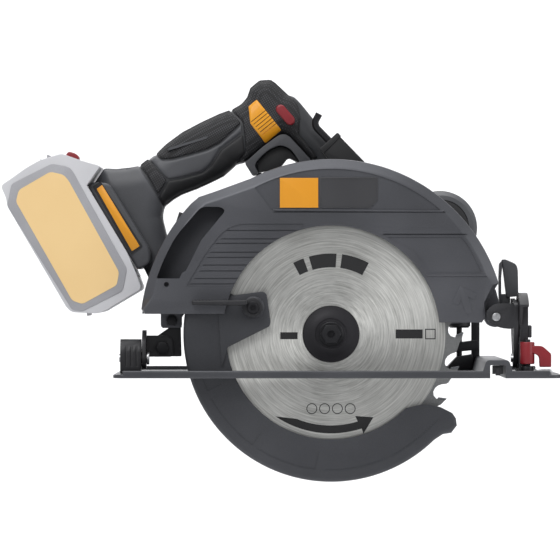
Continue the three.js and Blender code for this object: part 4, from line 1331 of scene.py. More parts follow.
@dataclass
class Handle(SubAssembly):
    """The trigger handle: shells, rubber fields, foot, panels and trigger.

    Attributes:
        half: Half of the handle's width.
        reach: How far in from its outline the sides curve over.
        edge: The share of the width left at the outline.
    """

    half: float = 18.0
    reach: float = 15.0
    edge: float = 0.42

    outer = [
        (-146.3, 151.5, 2), (-138.3, 153.3, 1), (-132.8, 157.9, 1), (-126.8, 161.6, 1),
        (-119.9, 168.4, 2), (-108.0, 177.2, 3), (-94.2, 184.5, 3), (-80.4, 190.9, 3),
        (-71.3, 193.7, 2), (-64.8, 197.8, 2), (-60.2, 202.9, 2), (-57.9, 209.8, 2),
        (-51.5, 215.0, 2), (-43.7, 215.6, 2), (-40.0, 213.0, 1), (-32.2, 205.6, 2),
        (-26.3, 204.3, 1), (-21.7, 199.7, 2), (-11.6, 187.3, 2), (-0.7, 175.3, 2),
        (26.2, 149.0, 4), (46.7, 100.4, 6), (28.7, 58.4, 3), (-21.3, 50.4, 3),
        (-65.8, 57.0, 4), (-111.8, 61.0, 3), (-131.3, 69.5, 2), (-136.3, 80.0, 1),
        (-140.3, 79.5, 1), (-144.3, 89.5, 1), (-173.3, 138.0, 1), (-164.3, 151.0, 2),
        (-155.8, 150.5, 2),
    ]
    gap = [
        (-120.4, 124.4, 3), (-114.4, 129.4, 1), (-108.0, 133.1, 1), (-97.0, 137.2, 2),
        (-85.9, 142.3, 2), (-77.7, 146.4, 1), (-71.3, 151.0, 1), (-69.4, 153.8, 1),
        (-62.1, 155.1, 1), (-49.2, 166.2, 3), (-35.4, 176.3, 4), (-30.8, 174.4, 2),
        (-14.3, 157.0, 4), (-0.3, 103.4, 8), (-17.3, 83.4, 6), (-41.8, 82.0, 4),
        (-113.8, 89.0, 5), (-118.4, 101.2, 3), (-122.1, 116.0, 3),
    ]

    def build(self) -> list[Built]:
        """Make the handle."""
        top = [
            (-127.0, 161.9), (-119.9, 168.9), (-108.0, 177.7), (-94.2, 185.0), (-80.4, 191.4),
            (-73.4, 193.8),
        ]
        seam = [(-73.1, 193.2), (-64.8, 184.5), (-63.4, 175.3), (-62.5, 162.5), (-69.4, 153.3)]
        pad_low = [
            (-64.9, 184.2), (-80.4, 169.8), (-89.6, 165.2), (-98.8, 162.5), (-114.4, 158.3),
            (-122.7, 157.9),
        ]
        insert_low = [
            (-131.9, 158.3), (-125.0, 150.1), (-118.1, 143.2), (-108.0, 144.6), (-93.3, 148.7),
            (-87.8, 153.3), (-80.4, 165.2), (-64.5, 177.2),
        ]
        pad = [*top, *seam[:1], *pad_low]
        insert = [
            *insert_low, (-64.6, 183.2), *[(x, z - 0.7) for x, z in pad_low[1:]], (-127.4, 161.2),
        ]
        under = [
            (-118.0, 142.4), (-108.0, 143.8), (-93.0, 147.9), (-87.1, 152.7), (-79.8, 164.4),
            (-64.0, 176.2), *seam[2:], (-77.7, 145.9), (-85.9, 141.8), (-97.0, 136.7),
            (-108.0, 132.6), (-114.4, 128.9), (-121.0, 123.6), (-124.6, 131.0),
        ]
        collar = [
            (-138.9, 153.6), (-132.8, 158.4), (-131.8, 157.6), (-118.7, 142.4), (-125.2, 131.4),
            (-131.0, 142.0),
        ]
        front = [
            (-72.2, 193.9), (-64.8, 198.3), (-60.7, 203.1), (-58.4, 210.0), (-51.7, 215.5),
            (-43.6, 216.1), (-39.7, 213.4), (-31.9, 206.0), (-23.6, 199.0), (-21.7, 188.2),
            (-23.0, 176.3), (-9.7, 159.7), (-13.0, 155.0), (-29.4, 174.6), (-35.4, 177.2),
            (-49.6, 167.2), (-62.2, 156.2), (-68.3, 155.0), (-61.7, 162.7), (-62.6, 175.4),
            (-64.0, 184.9),
        ]
        foot = [
            (-139.6, 153.2), (-131.6, 141.6), (-125.6, 130.8), (-121.5, 123.4), (-122.6, 116.0),
            (-118.8, 101.0), (-113.4, 88.5), (-111.8, 80.0), (-131.3, 69.0), (-136.3, 79.6),
            (-140.6, 79.2), (-144.8, 89.4), (-173.8, 138.0), (-164.6, 151.5), (-155.8, 151.0),
            (-146.3, 152.0),
        ]
        nodes = ("handle_right", "handle_left")
        made = [
            (
                self.field("handle_shells", None, -0.7, "housing", 1.7),
                "saw_body",
                "black_plastic",
                nodes,
            ),
            (
                self.field("grip_top_pad", pad, 0.5, "grip"),
                "saw_body",
                "grip_rubber",
                ("grip_rubber",),
            ),
            (self.field("grip_insert", insert, 0.0, "shell"), "saw_body", "black_plastic", ()),
            (self.field("grip_under_pad", under, 0.3, "rubber"), "saw_body", "grip_rubber", ()),
            (self.field("grip_collar", collar, 0.4, "grip"), "saw_body", "grip_rubber", ()),
            (self.field("neck_pad", front, 0.3, "grip"), "saw_body", "grip_rubber", ()),
            (self.field("handle_foot", foot, 0.2, "shell"), "saw_body", "black_plastic", ()),
            (self.panel(), "saw_body", "yellow_plastic", ("panel_right", "panel_left")),
            (self.lock_off(), "lock_off", "red_plastic", ("lock_off_button",)),
            (self.trigger(), "trigger_body", "black_plastic", ("trigger",)),
        ]
        return made + self.flare() + self.small_parts()

    def solid(
        self, outline: Sequence[Point], half: float, voxel: float, hole: bool
    ) -> Piece:
        """A block to a side view outline, as an even mesh that can be shaped."""
        piece = settle("soft_block", plate(outline, -half, half), [])
        if hole:
            cut_away(piece, plate(self.gap, -half - 5, half + 5))
        change = piece.modifiers.new("even", "REMESH")
        change.mode = "VOXEL"
        change.voxel_size = voxel * MM
        bake(piece)
        return piece

    def field(
        self,
        name: str,
        outline: Optional[Sequence[Point]],
        proud: float,
        finish: str,
        voxel: float = 1.1,
        half: float = 0.0,
        groove: float = 0.8,
    ) -> Piece:
        """One field of the handle, curved over as the whole handle is.

        Args:
            name: The piece's name.
            outline: Its side view, or None for the whole handle.
            proud: How far it stands over the shells.
            finish: Its finish.
            voxel: The size of its mesh.
            half: Half its width, or 0 for the handle's.
            groove: How far its own border falls back.

        Returns:
            The piece.
        """
        whole = outline is None
        half = half or self.half
        piece = self.solid(self.outer if whole else outline, half, voxel, whole)
        places = np.zeros(len(piece.data.vertices) * 3)
        piece.data.vertices.foreach_get("co", places)
        places = places.reshape(-1, 3) / MM
        flat = places[:, (0, 2)]
        deep = np.clip(edge_distance(flat, [self.outer, self.gap]) / self.reach, 0, 1)
        share = self.edge + (1 - self.edge) * np.sqrt(1 - (1 - deep) ** 2)
        across = places[:, 1] / half
        width = share * half + proud
        if not whole:
            near = np.clip(edge_distance(flat, [outline]) / 1.4, 0, 1)
            width = width - groove * (1 - near) ** 2
        places[:, 1] = across * width
        piece.data.vertices.foreach_set("co", (places * MM).ravel())
        calm = piece.modifiers.new("calm", "SMOOTH")
        calm.factor, calm.iterations = 0.5, 8 if whole else 3
        if whole:
            back = piece.modifiers.new("set_back", "DISPLACE")
            back.mid_level, back.strength = 0.0, -0.5 * MM
        bake(piece, 60)
        piece.name = name
        piece.data.name = name
        piece.data.materials.append(self.finishes[finish])
        return piece

    def panel(self) -> Piece:
        """The yellow ribbed panels let into both sides."""
        outline = [(-53.6, 201.7), (-59.9, 196.4), (-58.6, 183.6), (-47.5, 169.3), (-35.3, 179.2)]
        piece = self.field("side_panels", outline, 0.9, "yellow", 0.7, groove=0.5)
        bars = []
        for i in range(8):
            x, z = -58.5 + 1.55 * i, 184.2 - 1.9 * i
            bar = [
                (x + 1.2, z + 0.6), (x + 14.8, z + 11.6), (x + 14.5, z + 12.0), (x + 0.9, z + 1.0),
            ]
            bars += pair(bar, 17.2, 30)
        cut_away(piece, gather(bars))
        return piece

    def lock_off(self) -> Piece:
        """The red button that passes through the handle."""
        ends = ((-36.3, 194.0), (-29.3, 186.0))
        outline = sector_points(3.5, 41, 221, 10, ends[0]) + sector_points(
            3.5, 221, 401, 10, ends[1]
        )
        shape = plate(outline, -19.4, 19.4)
        soften(shape, 1.4, 4, on_side(-19.4, 19.4), 60)
        return settle("lock_off_cap", shape, self.finishes["red"])

    def trigger(self) -> Piece:
        """The curved trigger."""
        outline = [
            (-52.9, 155.6, 1), (-48.3, 160.6, 2), (-43.7, 164.3, 2), (-36.4, 167.5, 2),
            (-29.9, 165.2, 2), (-24.4, 157.9, 1), (-22.4, 155.2, 0.5), (-30.8, 159.3, 2),
            (-35.4, 153.2, 2), (-39.1, 151.0, 1), (-48.3, 149.0, 1), (-52.2, 148.5, 0.5),
        ]
        shape = plate(outline, -8, 8)
        soften(shape, 1.8, 4, on_side(-8, 8), 30)
        stem = box_of(-4, 4, -4, 4, 0, 18)
        turn(stem, -23.2, (0, 0, 0))
        move(stem, (-42.0, 0.0, 162.0))
        return settle("trigger_blade", gather([shape, stem]), self.finishes["black"])

    def flare(self) -> list[Built]:
        """The wide battery seat at the foot with its yellow strips."""
        seat = [
            (-139.6, 77.2, 2), (-176.2, 138.0, 3), (-171.9, 141.2, 2), (-160.4, 140.0, 3),
            (-130.6, 92.5, 4), (-130.3, 82.0, 3),
        ]
        block = plate(seat, -29.0, 29.0, near_edge=3.2, far_edge=3.2, steps=4)
        base = settle("battery_seat", block, self.finishes["shell"])
        border = [(-166.5, 141.4, 1), (-172.3, 137.6, 1), (-144.3, 88.4, 1), (-135.9, 94.4, 1)]
        strip = [
            (-165.4, 138.9, 0.5), (-169.4, 136.0, 0.5), (-143.8, 90.9, 0.5), (-138.2, 94.6, 0.5),
        ]
        frames = pair(border, 28.6, 29.7)
        strips = pair(strip, 29.0, 30.2)
        for shape in strips:
            soften(shape, 0.3, 2, None, 60)
        return [
            (base, "saw_body", "black_plastic", ()),
            (
                settle("seat_borders", gather(frames), self.finishes["black"]),
                "saw_body",
                "black_plastic",
                (),
            ),
            (
                settle("seat_strips", gather(strips), self.finishes["yellow"]),
                "saw_body",
                "yellow_plastic",
                (),
            ),
        ]

    def small_parts(self) -> list[Built]:
        """Screws along the left shell and a groove bar on the pads."""
        bar = [(-118.1, 164.0, 0.5), (-90.0, 172.8, 0.5), (-88.8, 174.8, 0.5), (-117.8, 165.8, 0.5)]
        bars = pair(bar, 15.0, 18.7)
        head = [(0, 17.2), (3.2, 17.2), (3.2, 18.0), (2.6, 18.6), (0, 18.6)]
        places = [
            (-150.0, 118.0), (-128.0, 92.0), (-78.0, 70.0), (20.0, 140.0), (-45.0, 206.0),
            (-104.0, 156.0),
        ]
        screws = [turned(head, place, 24) for place in places]
        cheek = [
            (-62.3, 155.3, 1), (-49.4, 167.0, 3), (-35.4, 177.0, 4), (-30.2, 175.0, 2),
            (-13.6, 157.0, 2), (-20.8, 153.9, 1), (-23.8, 158.4, 1), (-29.2, 165.6, 3),
            (-36.4, 168.4, 3), (-44.0, 165.2, 2), (-48.8, 161.4, 1), (-53.6, 156.4, 1),
            (-55.0, 153.0, 1), (-52.2, 147.4, 1), (-56.8, 146.4, 1),
        ]
        inner = [
            (-24.0, 154.8, 1), (-26.6, 158.0, 1), (-31.0, 161.6, 3), (-36.4, 163.2, 3),
            (-42.4, 160.8, 2), (-46.0, 157.6, 1), (-49.6, 153.8, 1), (-50.4, 151.6, 1),
            (-50.2, 147.0, 1), (-56.8, 146.4, 1),
        ]
        cheeks = []
        for side in (-1, 1):
            low, high = sorted((side * 8.8, side * 14.6))
            shape = plate(cheek if side < 0 else [*cheek[:5], *inner], low, high)
            soften(shape, 1.4, 4, on_side(side * 14.6), 30)
            cheeks.append(shape)
        return [
            (
                settle("trigger_cheeks", gather(cheeks), self.finishes["shell"]),
                "saw_body",
                "black_plastic",
                (),
            ),
            (
                settle("pad_bars", gather(bars), self.finishes["shell"]),
                "saw_body",
                "black_plastic",
                (),
            ),
            (
                settle("shell_screws", gather(screws), self.finishes["oxide"]),
                "saw_body",
                "black_steel",
                (),
            ),
        ]


# ---------------------------------------------------------------- battery


@dataclass
class Battery(SubAssembly):
    """The slide-off battery pack with its plain label and latch."""

    half: float = 38.0
    wall: float = 3.0

    outline = [
        (-166.3, 152.5, 2), (-181.3, 156.7, 2), (-194.5, 161.4, 2), (-201.4, 159.3, 2),
        (-210.9, 156.2, 3), (-220.9, 150.4, 3), (-230.4, 143.5, 3), (-238.3, 138.2, 3),
        (-234.3, 129.2, 2), (-233.6, 123.4, 2), (-190.3, 49.5, 3), (-186.6, 46.8, 2),
        (-166.5, 45.8, 4), (-136.4, 63.7, 3), (-141.3, 77.0, 2), (-146.8, 89.5, 0),
        (-176.2, 138.4, 0),
    ]

    def build(self) -> list[Built]:
        """Make the pack's case, label and button."""
        return [
            (self.case(), "battery", "battery_grey", ("battery_case",)),
            (self.border(), "battery", "battery_grey", ()),
            (self.label(), "battery", "battery_grey", ()),
            (self.latch(), "latch", "red_plastic", ("battery_latch",)),
        ]

    def case(self) -> Piece:
        """The moulded case, hollow for its cells."""
        shape = plate(self.outline, -self.half, self.half, near_edge=3.4, far_edge=3.4, steps=4)
        piece = settle("battery_shell", shape, self.finishes["pack"])
        hollow = [
            (-195.9, 155.7), (-231.9, 134.0), (-188.5, 54.0), (-168.3, 48.6), (-141.3, 64.8),
            (-144.4, 70.0), (-134.1, 76.1), (-169.1, 134.4), (-179.4, 128.2),
        ]
        cut_away(piece, plate(hollow, -self.half + self.wall, self.half - self.wall))
        well = [(-194.8, 171.0), (-192.8, 153.0), (-182.8, 153.0), (-180.8, 171.0)]
        cut_away(piece, plate(well, -12, 12))
        ribs = []
        for i in range(5):
            x, z = -205.0 - 5.0 * i, 159.8 - 3.3 * i
            ribs.append(box_of(x - 0.6, x + 0.6, -26, 26, z - 3.0, z + 0.9))
        for i in range(4):
            x, z = -176.0 + 7.0 * i, 45.2 + 3.6 * i
            ribs.append(box_of(x - 0.6, x + 0.6, -26, 26, z - 1.0, z + 3.4))
        return merge(
            "battery_shell", [piece, settle("ribs", gather(ribs), self.finishes["pack_dark"])]
        )

    def border(self) -> Piece:
        """The raised border round the labels."""
        outer = [
            (-201.4, 154.0, 3), (-189.7, 151.9, 3), (-186.6, 149.3, 2), (-147.0, 78.0, 3),
            (-150.1, 62.2, 3), (-179.2, 47.4, 3), (-186.6, 48.4, 3), (-233.6, 123.4, 3),
            (-230.4, 139.3, 3),
        ]
        top = self.half + 0.7
        shapes = pair(outer, self.half - 1.0, top)
        for shape in shapes:
            soften(shape, 0.5, 2, on_side(-top, top), 60)
        return settle("battery_label_border", gather(shapes), self.finishes["pack_dark"])

    def label(self) -> Piece:
        """The plain labels on both sides."""
        outline = [
            (-202.4, 148.2, 2), (-192.9, 146.1, 2), (-189.2, 141.9, 2), (-152.8, 75.9, 2),
            (-154.4, 66.4, 2), (-179.2, 52.7, 2), (-186.6, 55.3, 2), (-227.2, 126.6, 2),
            (-225.1, 135.0, 2),
        ]
        shapes = pair(outline, self.half, self.half + 1.0)
        return settle("battery_labels", gather(shapes), self.finishes["pale_yellow"])

    def latch(self) -> Piece:
        """The red push button that lets the pack slide off."""
        outline = [
            (-192.7, 161.0, 1), (-191.8, 157.4, 1), (-183.8, 157.2, 1), (-182.8, 159.2, 1),
            (-185.3, 162.2, 1.5), (-190.8, 163.8, 1.5),
        ]
        shape = plate(outline, -11.4, 11.4)
        soften(shape, 0.8, 3, on_side(-11.4, 11.4), 40)
        return settle("latch_button", shape, self.finishes["red"])


# ---------------------------------------------------------------- sole, levers, motor and key


def barrel(radius: float, length: float) -> Shape:
    """An upright round bar about the origin, in millimetres."""
    shape = bmesh.new()
    sizes = {"radius1": radius * MM, "radius2": radius * MM, "depth": length * MM}
    bmesh.ops.create_cone(shape, cap_ends=True, segments=40, **sizes)
    return shape


@dataclass
class Sole(SubAssembly):
    """The pressed sole with its rolled edges, fence channel and front fittings."""

    rear: float = -156.0
    front: float = 165.0
    near: float = -76.0
    far: float = 100.0
    sheet: float = 2.6
    lip: float = 5.4

    def build(self) -> list[Built]:
        """Make the sole and what is fixed to it."""
        return [
            (self.plate(), "base", "sole_enamel", ("base_plate",)),
            (self.fence_block(), "base", "black_steel", ()),
            (self.cheek(), "base", "black_steel", ()),
            (self.clamp_lever(), "fence_clamp", "red_plastic", ("fence_clamp_lever",)),
            (self.paddle(), "bevel_lock", "black_plastic", ("bevel_lock_lever",)),
            (self.depth_stop(), "base", "black_steel", ()),
        ]

    def plate(self) -> Piece:
        """The sheet with its lips, its bump and the cuts in it."""
        corners = [
            (self.rear, self.near), (self.front, self.near), (self.front, self.far),
            (self.rear, self.far),
        ]
        shape = bmesh.new()
        shape.faces.new([shape.verts.new((x * MM, y * MM, 0.0)) for x, y in corners])
        round_off(shape, shape.verts[:], 9, 8, "VERTICES")
        raise_face(shape, (0, 0, self.sheet))
        soften(shape, 0.7, 3, None, 60)
        piece = settle("sole_plate", shape, self.finishes["sole"])
        for y0, y1 in ((self.near, self.near + 3.0), (self.far - 3.0, self.far)):
            lip = box_of(self.rear + 7, self.front - 9, y0, y1, 0.2, self.lip)
            soften(lip, 0.9, 3, None, 60)
            cut_away(piece, lip, union=True)
        for y0, y1 in ((-30.0, self.far - 8), (self.near + 8, -58.0)):
            bead = box_of(self.rear + 14, 92.0, y0 + 4, y0 + 9, 2.0, 3.9)
            soften(bead, 0.8, 3, None, 60)
            cut_away(piece, bead, union=True)
        bump = [(106.5, 0.3, 1), (110.4, 13.0, 2), (126.5, 13.0, 2), (130.6, 0.3, 1)]
        cut_away(piece, plate(bump, self.near, self.far, near_edge=0.5, far_edge=0.5), union=True)
        channel = [(113.1, -3), (124.1, -3), (124.1, 9.4, 0.6), (113.1, 9.4, 0.6)]
        cut_away(piece, plate(channel, self.near - 5, self.far + 5))
        cut_away(piece, self.slot())
        cut_away(piece, self.notch())
        return piece

    def slot(self) -> Shape:
        """The long opening for the blade and its guard."""
        shape = box_of(-112.2, 100.2, -53.4, -17.0, -5, 10)
        upright = [e for e in shape.edges if abs(e.verts[0].co.z - e.verts[1].co.z) > 5 * MM]
        round_off(shape, upright, 5, 6, "EDGES")
        return shape

    def notch(self) -> Shape:
        """The sight notch in the front edge."""
        shape = bmesh.new()
        corners = ((151, -47), (166, -53), (166, -35), (151, -41))
        shape.faces.new([shape.verts.new((x * MM, y * MM, -5 * MM)) for x, y in corners])
        raise_face(shape, (0, 0, 15))
        return shape

    def fence_block(self) -> Piece:
        """The small spring block that shows in the fence channel."""
        shape = plate(
            [(115.0, 3.0), (122.4, 3.0), (122.4, 9.0), (115.0, 9.0)], -73.0, -66.0, near_edge=0.4
        )
        pad = plate(
            [(117.0, 2.0), (120.4, 2.0), (120.4, 7.0), (117.0, 7.0)], -73.8, -72.0, near_edge=0.3
        )
        return settle("fence_spring_block", gather([shape, pad]), self.finishes["bracket"])

    def cheek(self) -> Piece:
        """The black cheek of the bevel scale, with its rivets and its nut."""
        body = plate(
            [(134.9, 26.4), (141.1, 26.4), (141.1, 55.1), (134.9, 55.1)],
            -60.5,
            -55.5,
            near_edge=0.5,
        )
        rivets = [box_of(137.6, 140.4, -61.1, -60.3, z - 1.4, z + 1.4) for z in (33.4, 45.0)]
        steps = [box_of(134.9, 136.0, -61.2, -60.3, z, z + 7.0) for z in (28.0, 38.4, 47.0)]
        foot = plate([(134.9, 3.0), (139.6, 3.0), (139.6, 27.0), (134.9, 27.0)], -59.9, -56.9)
        nut = box_of(141.0, 143.6, -60.4, -55.6, 28.8, 37.7)
        soften(nut, 0.9, 3)
        return settle(
            "bevel_scale_cheek",
            gather([body, foot, *rivets, *steps, nut]),
            self.finishes["bracket"],
        )

    def clamp_lever(self) -> Piece:
        """The red lever that clamps the fence bar."""
        hub = barrel(5.2, 15.8)
        soften(hub, 0.7, 3, None, 60)
        move(hub, (140.1, -65.5, 17.9))
        arm = [
            (141.0, 23.1, 1), (150.7, 23.1, 2), (157.0, 17.4, 1), (157.0, 7.9, 0.6),
            (148.9, 7.9, 0.6), (148.3, 15.8, 1.5), (142.6, 18.6, 1),
        ]
        bar = plate(arm, -69.7, -61.3, near_edge=0.8, far_edge=0.8)
        piece = settle("fence_clamp_handle", hub, self.finishes["red"])
        cut_away(piece, bar, union=True)
        return piece

    def paddle(self) -> Piece:
        """The bevel lock's paddle with its bent frame."""
        outline = [
            (124.1, 84.9, 1), (126.6, 85.2, 1), (134.4, 81.8, 2), (135.8, 78.2, 2),
            (136.2, 58.2, 1), (127.6, 57.6, 1), (124.6, 82.6, 1),
        ]
        face = plate(outline, -23.2, -11.2, near_edge=1.0, far_edge=1.0)
        frame_line = [
            (124.8, 84.6, 1), (122.4, 82.0, 1), (122.0, 72.4, 1), (122.0, 61.4, 1),
            (122.4, 52.0, 0.5), (124.4, 52.0, 0.5), (123.8, 61.8, 1), (123.8, 72.0, 1),
            (124.6, 80.6, 1),
        ]
        bow = plate(frame_line, -22.2, -12.2, near_edge=0.4, far_edge=0.4)
        hub = barrel(6.0, 7.1)
        turn(hub, 90, (0, 0, 0))
        move(hub, (127.1, -17.24, 43.73))
        neck = plate([(122.6, 40.0), (130.4, 40.0), (130.4, 60.0), (122.6, 60.0)], -20.4, -14.0)
        soften(neck, 0.6, 2, None, 60)
        return settle("bevel_lock_paddle", gather([face, bow, neck, hub]), self.finishes["shell"])

    def depth_stop(self) -> Piece:
        """The black adjusting screws and wedges in front of the blade."""
        place, edges = (98.0, 88.0), {"near_edge": 0.6, "far_edge": 0.6}
        head = [
            (0, 38.9), (8.3, 38.9), (8.3, 35.6), (6.9, 34.2), (2.1, 34.2), (2.1, 22.0), (0, 22.0),
        ]
        foot = [(0, 23.0), (2.1, 23.0), (2.1, 3.0), (0, 3.0)]
        wedge = [
            (84.4, 17.6, 1), (98.0, 23.4, 1), (112.0, 25.2, 1), (113.0, 20.0, 1), (108.0, 17.4, 1),
            (92.0, 15.8, 0.5),
        ]
        lower = [(89.5, 6.0, 0.5), (96.0, 12.6, 1), (108.0, 14.5, 1), (108.0, 3.0), (89.5, 3.0)]
        bar = [(107.1, 3.0), (113.1, 3.0), (113.1, 39.8, 1), (107.1, 39.8, 1)]
        shapes = [
            turned(head, place, 32, upright=True), plate(wedge, 80.0, 96.0, **edges),
            plate(lower, 80.0, 96.0, **edges), plate(bar, 84.0, 92.0, **edges),
            turned(foot, place, 32, upright=True),
        ]
        return settle("squaring_screw", gather(shapes), self.finishes["bracket"])


@dataclass
class Drive(SubAssembly):
    """The motor housing, the front knob and the stowed key."""

    shaft: tuple[float, float] = (12.68, 58.39)
    knob: tuple[float, float] = (80.0, 108.0)
    radius: float = 33.0

    def build(self) -> list[Built]:
        """Make the pieces on the motor side."""
        return [
            (self.housing(), "saw_body", "black_plastic", ()),
            (self.cap(), "saw_body", "black_plastic", ("motor_end_cap",)),
            (self.front_knob(), "saw_body", "black_plastic", ("front_knob",)),
            (self.knob_cap(), "saw_body", "black_plastic", ()),
            (self.hex_key(), "key", "bright_steel", ("hex_key",)),
            (self.key_boot(), "saw_body", "black_plastic", ("key_holder",)),
        ]

    def housing(self) -> Piece:
        """Cooling ribs and bosses round the motor tube."""
        shapes = []
        for i in range(9):
            y = 16.0 + 6.4 * i
            profile = [(32.6, y), (34.4, y + 0.4), (34.4, y + 2.2), (32.6, y + 2.6), (32.6, y)]
            shapes.append(turned(profile, self.shaft, 96))
        for angle in (45, 135, 225, 315):
            x, z = around(self.radius + 0.6, angle, self.shaft)
            shapes.append(
                turned([(0, 3.0), (3.6, 3.0), (3.6, 73.0), (2.8, 74.4), (0, 74.4)], (x, z), 24)
            )
        return settle("motor_ribs", gather(shapes), self.finishes["housing"])

    def cap(self) -> Piece:
        """The end cap with its ring of vents."""
        profile = [
            (0, 75.3), (33.0, 75.3), (33.0, 77.2), (31.8, 79.6), (28.0, 80.8), (9.0, 81.0),
            (7.6, 80.2), (0, 80.2),
        ]
        piece = settle("motor_cap", turned(profile, self.shaft, 96), self.finishes["housing"])
        for angle in range(0, 360, 24):
            ends = around(12.0, angle, self.shaft), around(25.5, angle, self.shaft)
            cut_away(piece, plate(bar_of(*ends, 1.3, 0.6), 78.4, 84.0))
        return piece

    def front_knob(self) -> Piece:
        """The round auxiliary grip with its ring grooves."""
        profile = [
            (0, -24.0), (18.5, -24.0), (22.6, -21.6), (25.6, -16.0), (27.0, -8.0), (27.0, 17.0),
            (25.8, 25.0), (23.2, 31.0), (19.0, 34.6), (0, 35.0),
        ]
        piece = settle("knob_grip", turned(profile, self.knob, 80), self.finishes["rubber"])
        for y in (-15.0, -9.0, -3.0, 12.0, 18.0, 24.0):
            cut_away(piece, ring(30.0, 26.3, y, y + 1.5, self.knob, 80))
        return piece

    def knob_cap(self) -> Piece:
        """The pale cap ring and the screw of the grip."""
        profile = [
            (20.4, -23.6), (23.4, -22.6), (25.6, -18.0), (26.2, -16.4), (24.8, -16.4),
            (20.4, -22.0), (20.4, -23.6),
        ]
        screw = turned(
            [(0, -26.0), (4.4, -26.0), (5.0, -25.2), (5.0, -23.5), (0, -23.5)], self.knob, 32
        )
        return settle(
            "knob_cap_ring", gather([turned(profile, self.knob, 80), screw]), self.finishes["shell"]
        )

    def hex_key(self) -> Piece:
        """The bent hexagon key: a long arm, a bend and a short arm."""
        across, bend, short = 2.5, 72.0, 4.5
        foot, top = Vector((8.0, -22.8, 161.6)), Vector((-9.4, -22.8, 179.6))
        up = Vector((0, 1, 0))
        side = (top - foot).normalized().cross(up)
        angles = [math.radians(60 * i) for i in range(6)]
        corners = [foot + (side * math.cos(a) + up * math.sin(a)) * across for a in angles]
        shape = bmesh.new()
        face = shape.faces.new([shape.verts.new(corner * MM) for corner in corners])
        made = bmesh.ops.extrude_face_region(shape, geom=[face], use_keep_orig=True)
        bmesh.ops.translate(shape, vec=(top - foot) * MM, verts=verts_in(made))
        spun = bmesh.ops.spin(
            shape,
            geom=[g for g in made["geom"] if isinstance(g, bmesh.types.BMFace)],
            cent=(top + Vector((4.3, 0, 4.2))) * MM,
            axis=(0, 1, 0),
            angle=math.radians(bend),
            steps=10,
            use_merge=False,
            use_duplicate=False,
        )
        tip = [g for g in spun["geom_last"] if isinstance(g, bmesh.types.BMFace)]
        out = bmesh.ops.extrude_face_region(shape, geom=tip)
        bmesh.ops.translate(shape, vec=tip[0].normal * short * MM, verts=verts_in(out))
        bmesh.ops.recalc_face_normals(shape, faces=shape.faces[:])
        return settle("stowed_hex_key", shape, self.finishes["oxide"])

    def key_boot(self) -> Piece:
        """The black clip that holds the key."""
        outline = [
            (4.6, 176.2, 1.5), (25.6, 154.6, 3), (31.0, 146.0, 2), (10.0, 146.0, 2),
            (-0.8, 156.4, 2), (-7.7, 164.6, 1.5),
        ]
        shape = plate(outline, -28.4, -18.4)
        soften(shape, 2.6, 5, on_side(-28.4), 30)
        collar = plate(
            [(4.9, 177.0, 1), (7.6, 174.2, 0.5), (-4.6, 161.8, 0.5), (-8.4, 164.8, 1)],
            -29.0,
            -18.4,
            near_edge=1.0,
        )
        return settle("key_clip", gather([shape, collar]), self.finishes["black"])


ASSEMBLIES: tuple = (Blade, UpperGuard, LowerGuard, Handle, Battery, Sole, Drive)


# ---------------------------------------------------------------- light, floor and camera


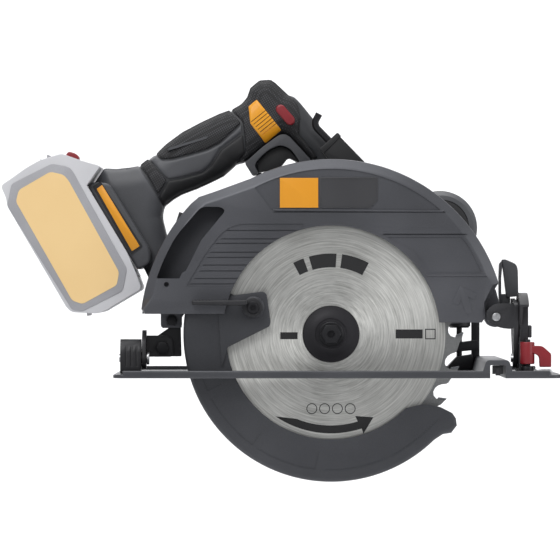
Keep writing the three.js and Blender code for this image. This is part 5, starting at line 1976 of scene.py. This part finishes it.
class Studio:
    """A pale floor, soft light and the camera."""

    distance = 3000.0
    middle = (-36.7, 70.1)
    breadth = 403.2
    sensor = 36.0
    floor_z = -520.0

    def build(self) -> None:
        """Make the sweep, the lights, the world and the camera."""
        self.sweep()
        self.light("key", (-520, -1150, 1150), 1.1, 14.0, (-20, -44, 60))
        self.light("top", (60, 80, 1500), 1.5, 15.0, (0, 0, 60))
        self.light("side", (1300, -700, 420), 1.0, 5.0, (40, -30, 60))
        self.light("back", (-900, 1100, 900), 1.2, 8.0, (-20, 0, 80))
        self.light("sweep", (0, 3200, 3000), 2.4, 125.0, (0, 5500, -100))
        world = bpy.data.worlds.new("studio")
        world.use_nodes = True
        tree = world.node_tree
        tree.nodes["Background"].inputs["Color"].default_value = linear("F4F5F7")
        tree.nodes["Background"].inputs["Strength"].default_value = 0.46
        bpy.context.scene.world = world
        self.camera()

    def sweep(self) -> None:
        """The floor, curved up behind the saw."""
        shape = bmesh.new()
        profile = [(-5500.0, 0.0), (4600.0, 0.0)]
        profile += [
            (4600 + 900 * math.sin(a), 900 - 900 * math.cos(a))
            for a in (math.radians(9 * i) for i in range(1, 11))
        ]
        profile.append((5500.0, 4800.0))
        ring = [shape.verts.new((-6.0, y * MM, (z + self.floor_z) * MM)) for y, z in profile]
        edges = [shape.edges.new(pair) for pair in zip(ring, ring[1:])]
        made = bmesh.ops.extrude_edge_only(shape, edges=edges)
        side = [v for v in made["geom"] if isinstance(v, bmesh.types.BMVert)]
        bmesh.ops.translate(shape, vec=(12.0, 0, 0), verts=side)
        bmesh.ops.recalc_face_normals(shape, faces=shape.faces[:])
        paper = Moulded("studio_paper", "F6F6F7", "F2F2F3", 0.8, 2.0, 0.0).build()
        settle("studio_sweep", shape, paper)

    def light(self, name: str, place: Point, size: float, power: float, at: Point) -> None:
        """Hang one square soft light.

        Args:
            name: Its name.
            place: Where it hangs, in millimetres.
            size: Its side in metres.
            power: Its power in watts.
            at: What it points at.
        """
        data = bpy.data.lights.new(name, "AREA")
        data.size = size
        data.energy = power
        lamp = bpy.data.objects.new(name, data)
        bpy.context.scene.collection.objects.link(lamp)
        here = Vector(place) * MM
        lamp.location = here
        lamp.rotation_euler = (Vector(at) * MM - here).to_track_quat("-Z", "Y").to_euler()

    def camera(self) -> None:
        """Stand the camera square to the cutting side."""
        data = bpy.data.cameras.new("camera")
        data.sensor_width = self.sensor
        data.lens = self.sensor * self.distance / self.breadth
        data.clip_start, data.clip_end = 0.05, 30.0
        eye = bpy.data.objects.new("camera", data)
        bpy.context.scene.collection.objects.link(eye)
        eye.location = Vector((self.middle[0], BLADE_Y - self.distance, self.middle[1])) * MM
        eye.rotation_euler = (math.radians(90), 0.0, 0.0)
        bpy.context.scene.camera = eye


# ---------------------------------------------------------------- the whole saw


def main() -> None:
    """Build every part of the saw in order."""
    logging.basicConfig(level=logging.INFO, format="%(message)s")
    finishes = make_finishes()
    FramePieces(finishes).dress()
    for part in ASSEMBLIES:
        for piece, body, slot, nodes in part(finishes).build():
            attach(piece, body)
            if nodes:
                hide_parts(*nodes)
            log.info("built %s with %d faces", piece.name, len(piece.data.polygons))
    Studio().build()
    bpy.context.scene.view_settings.view_transform = "Standard"


if __name__ == "__main__":
    main()
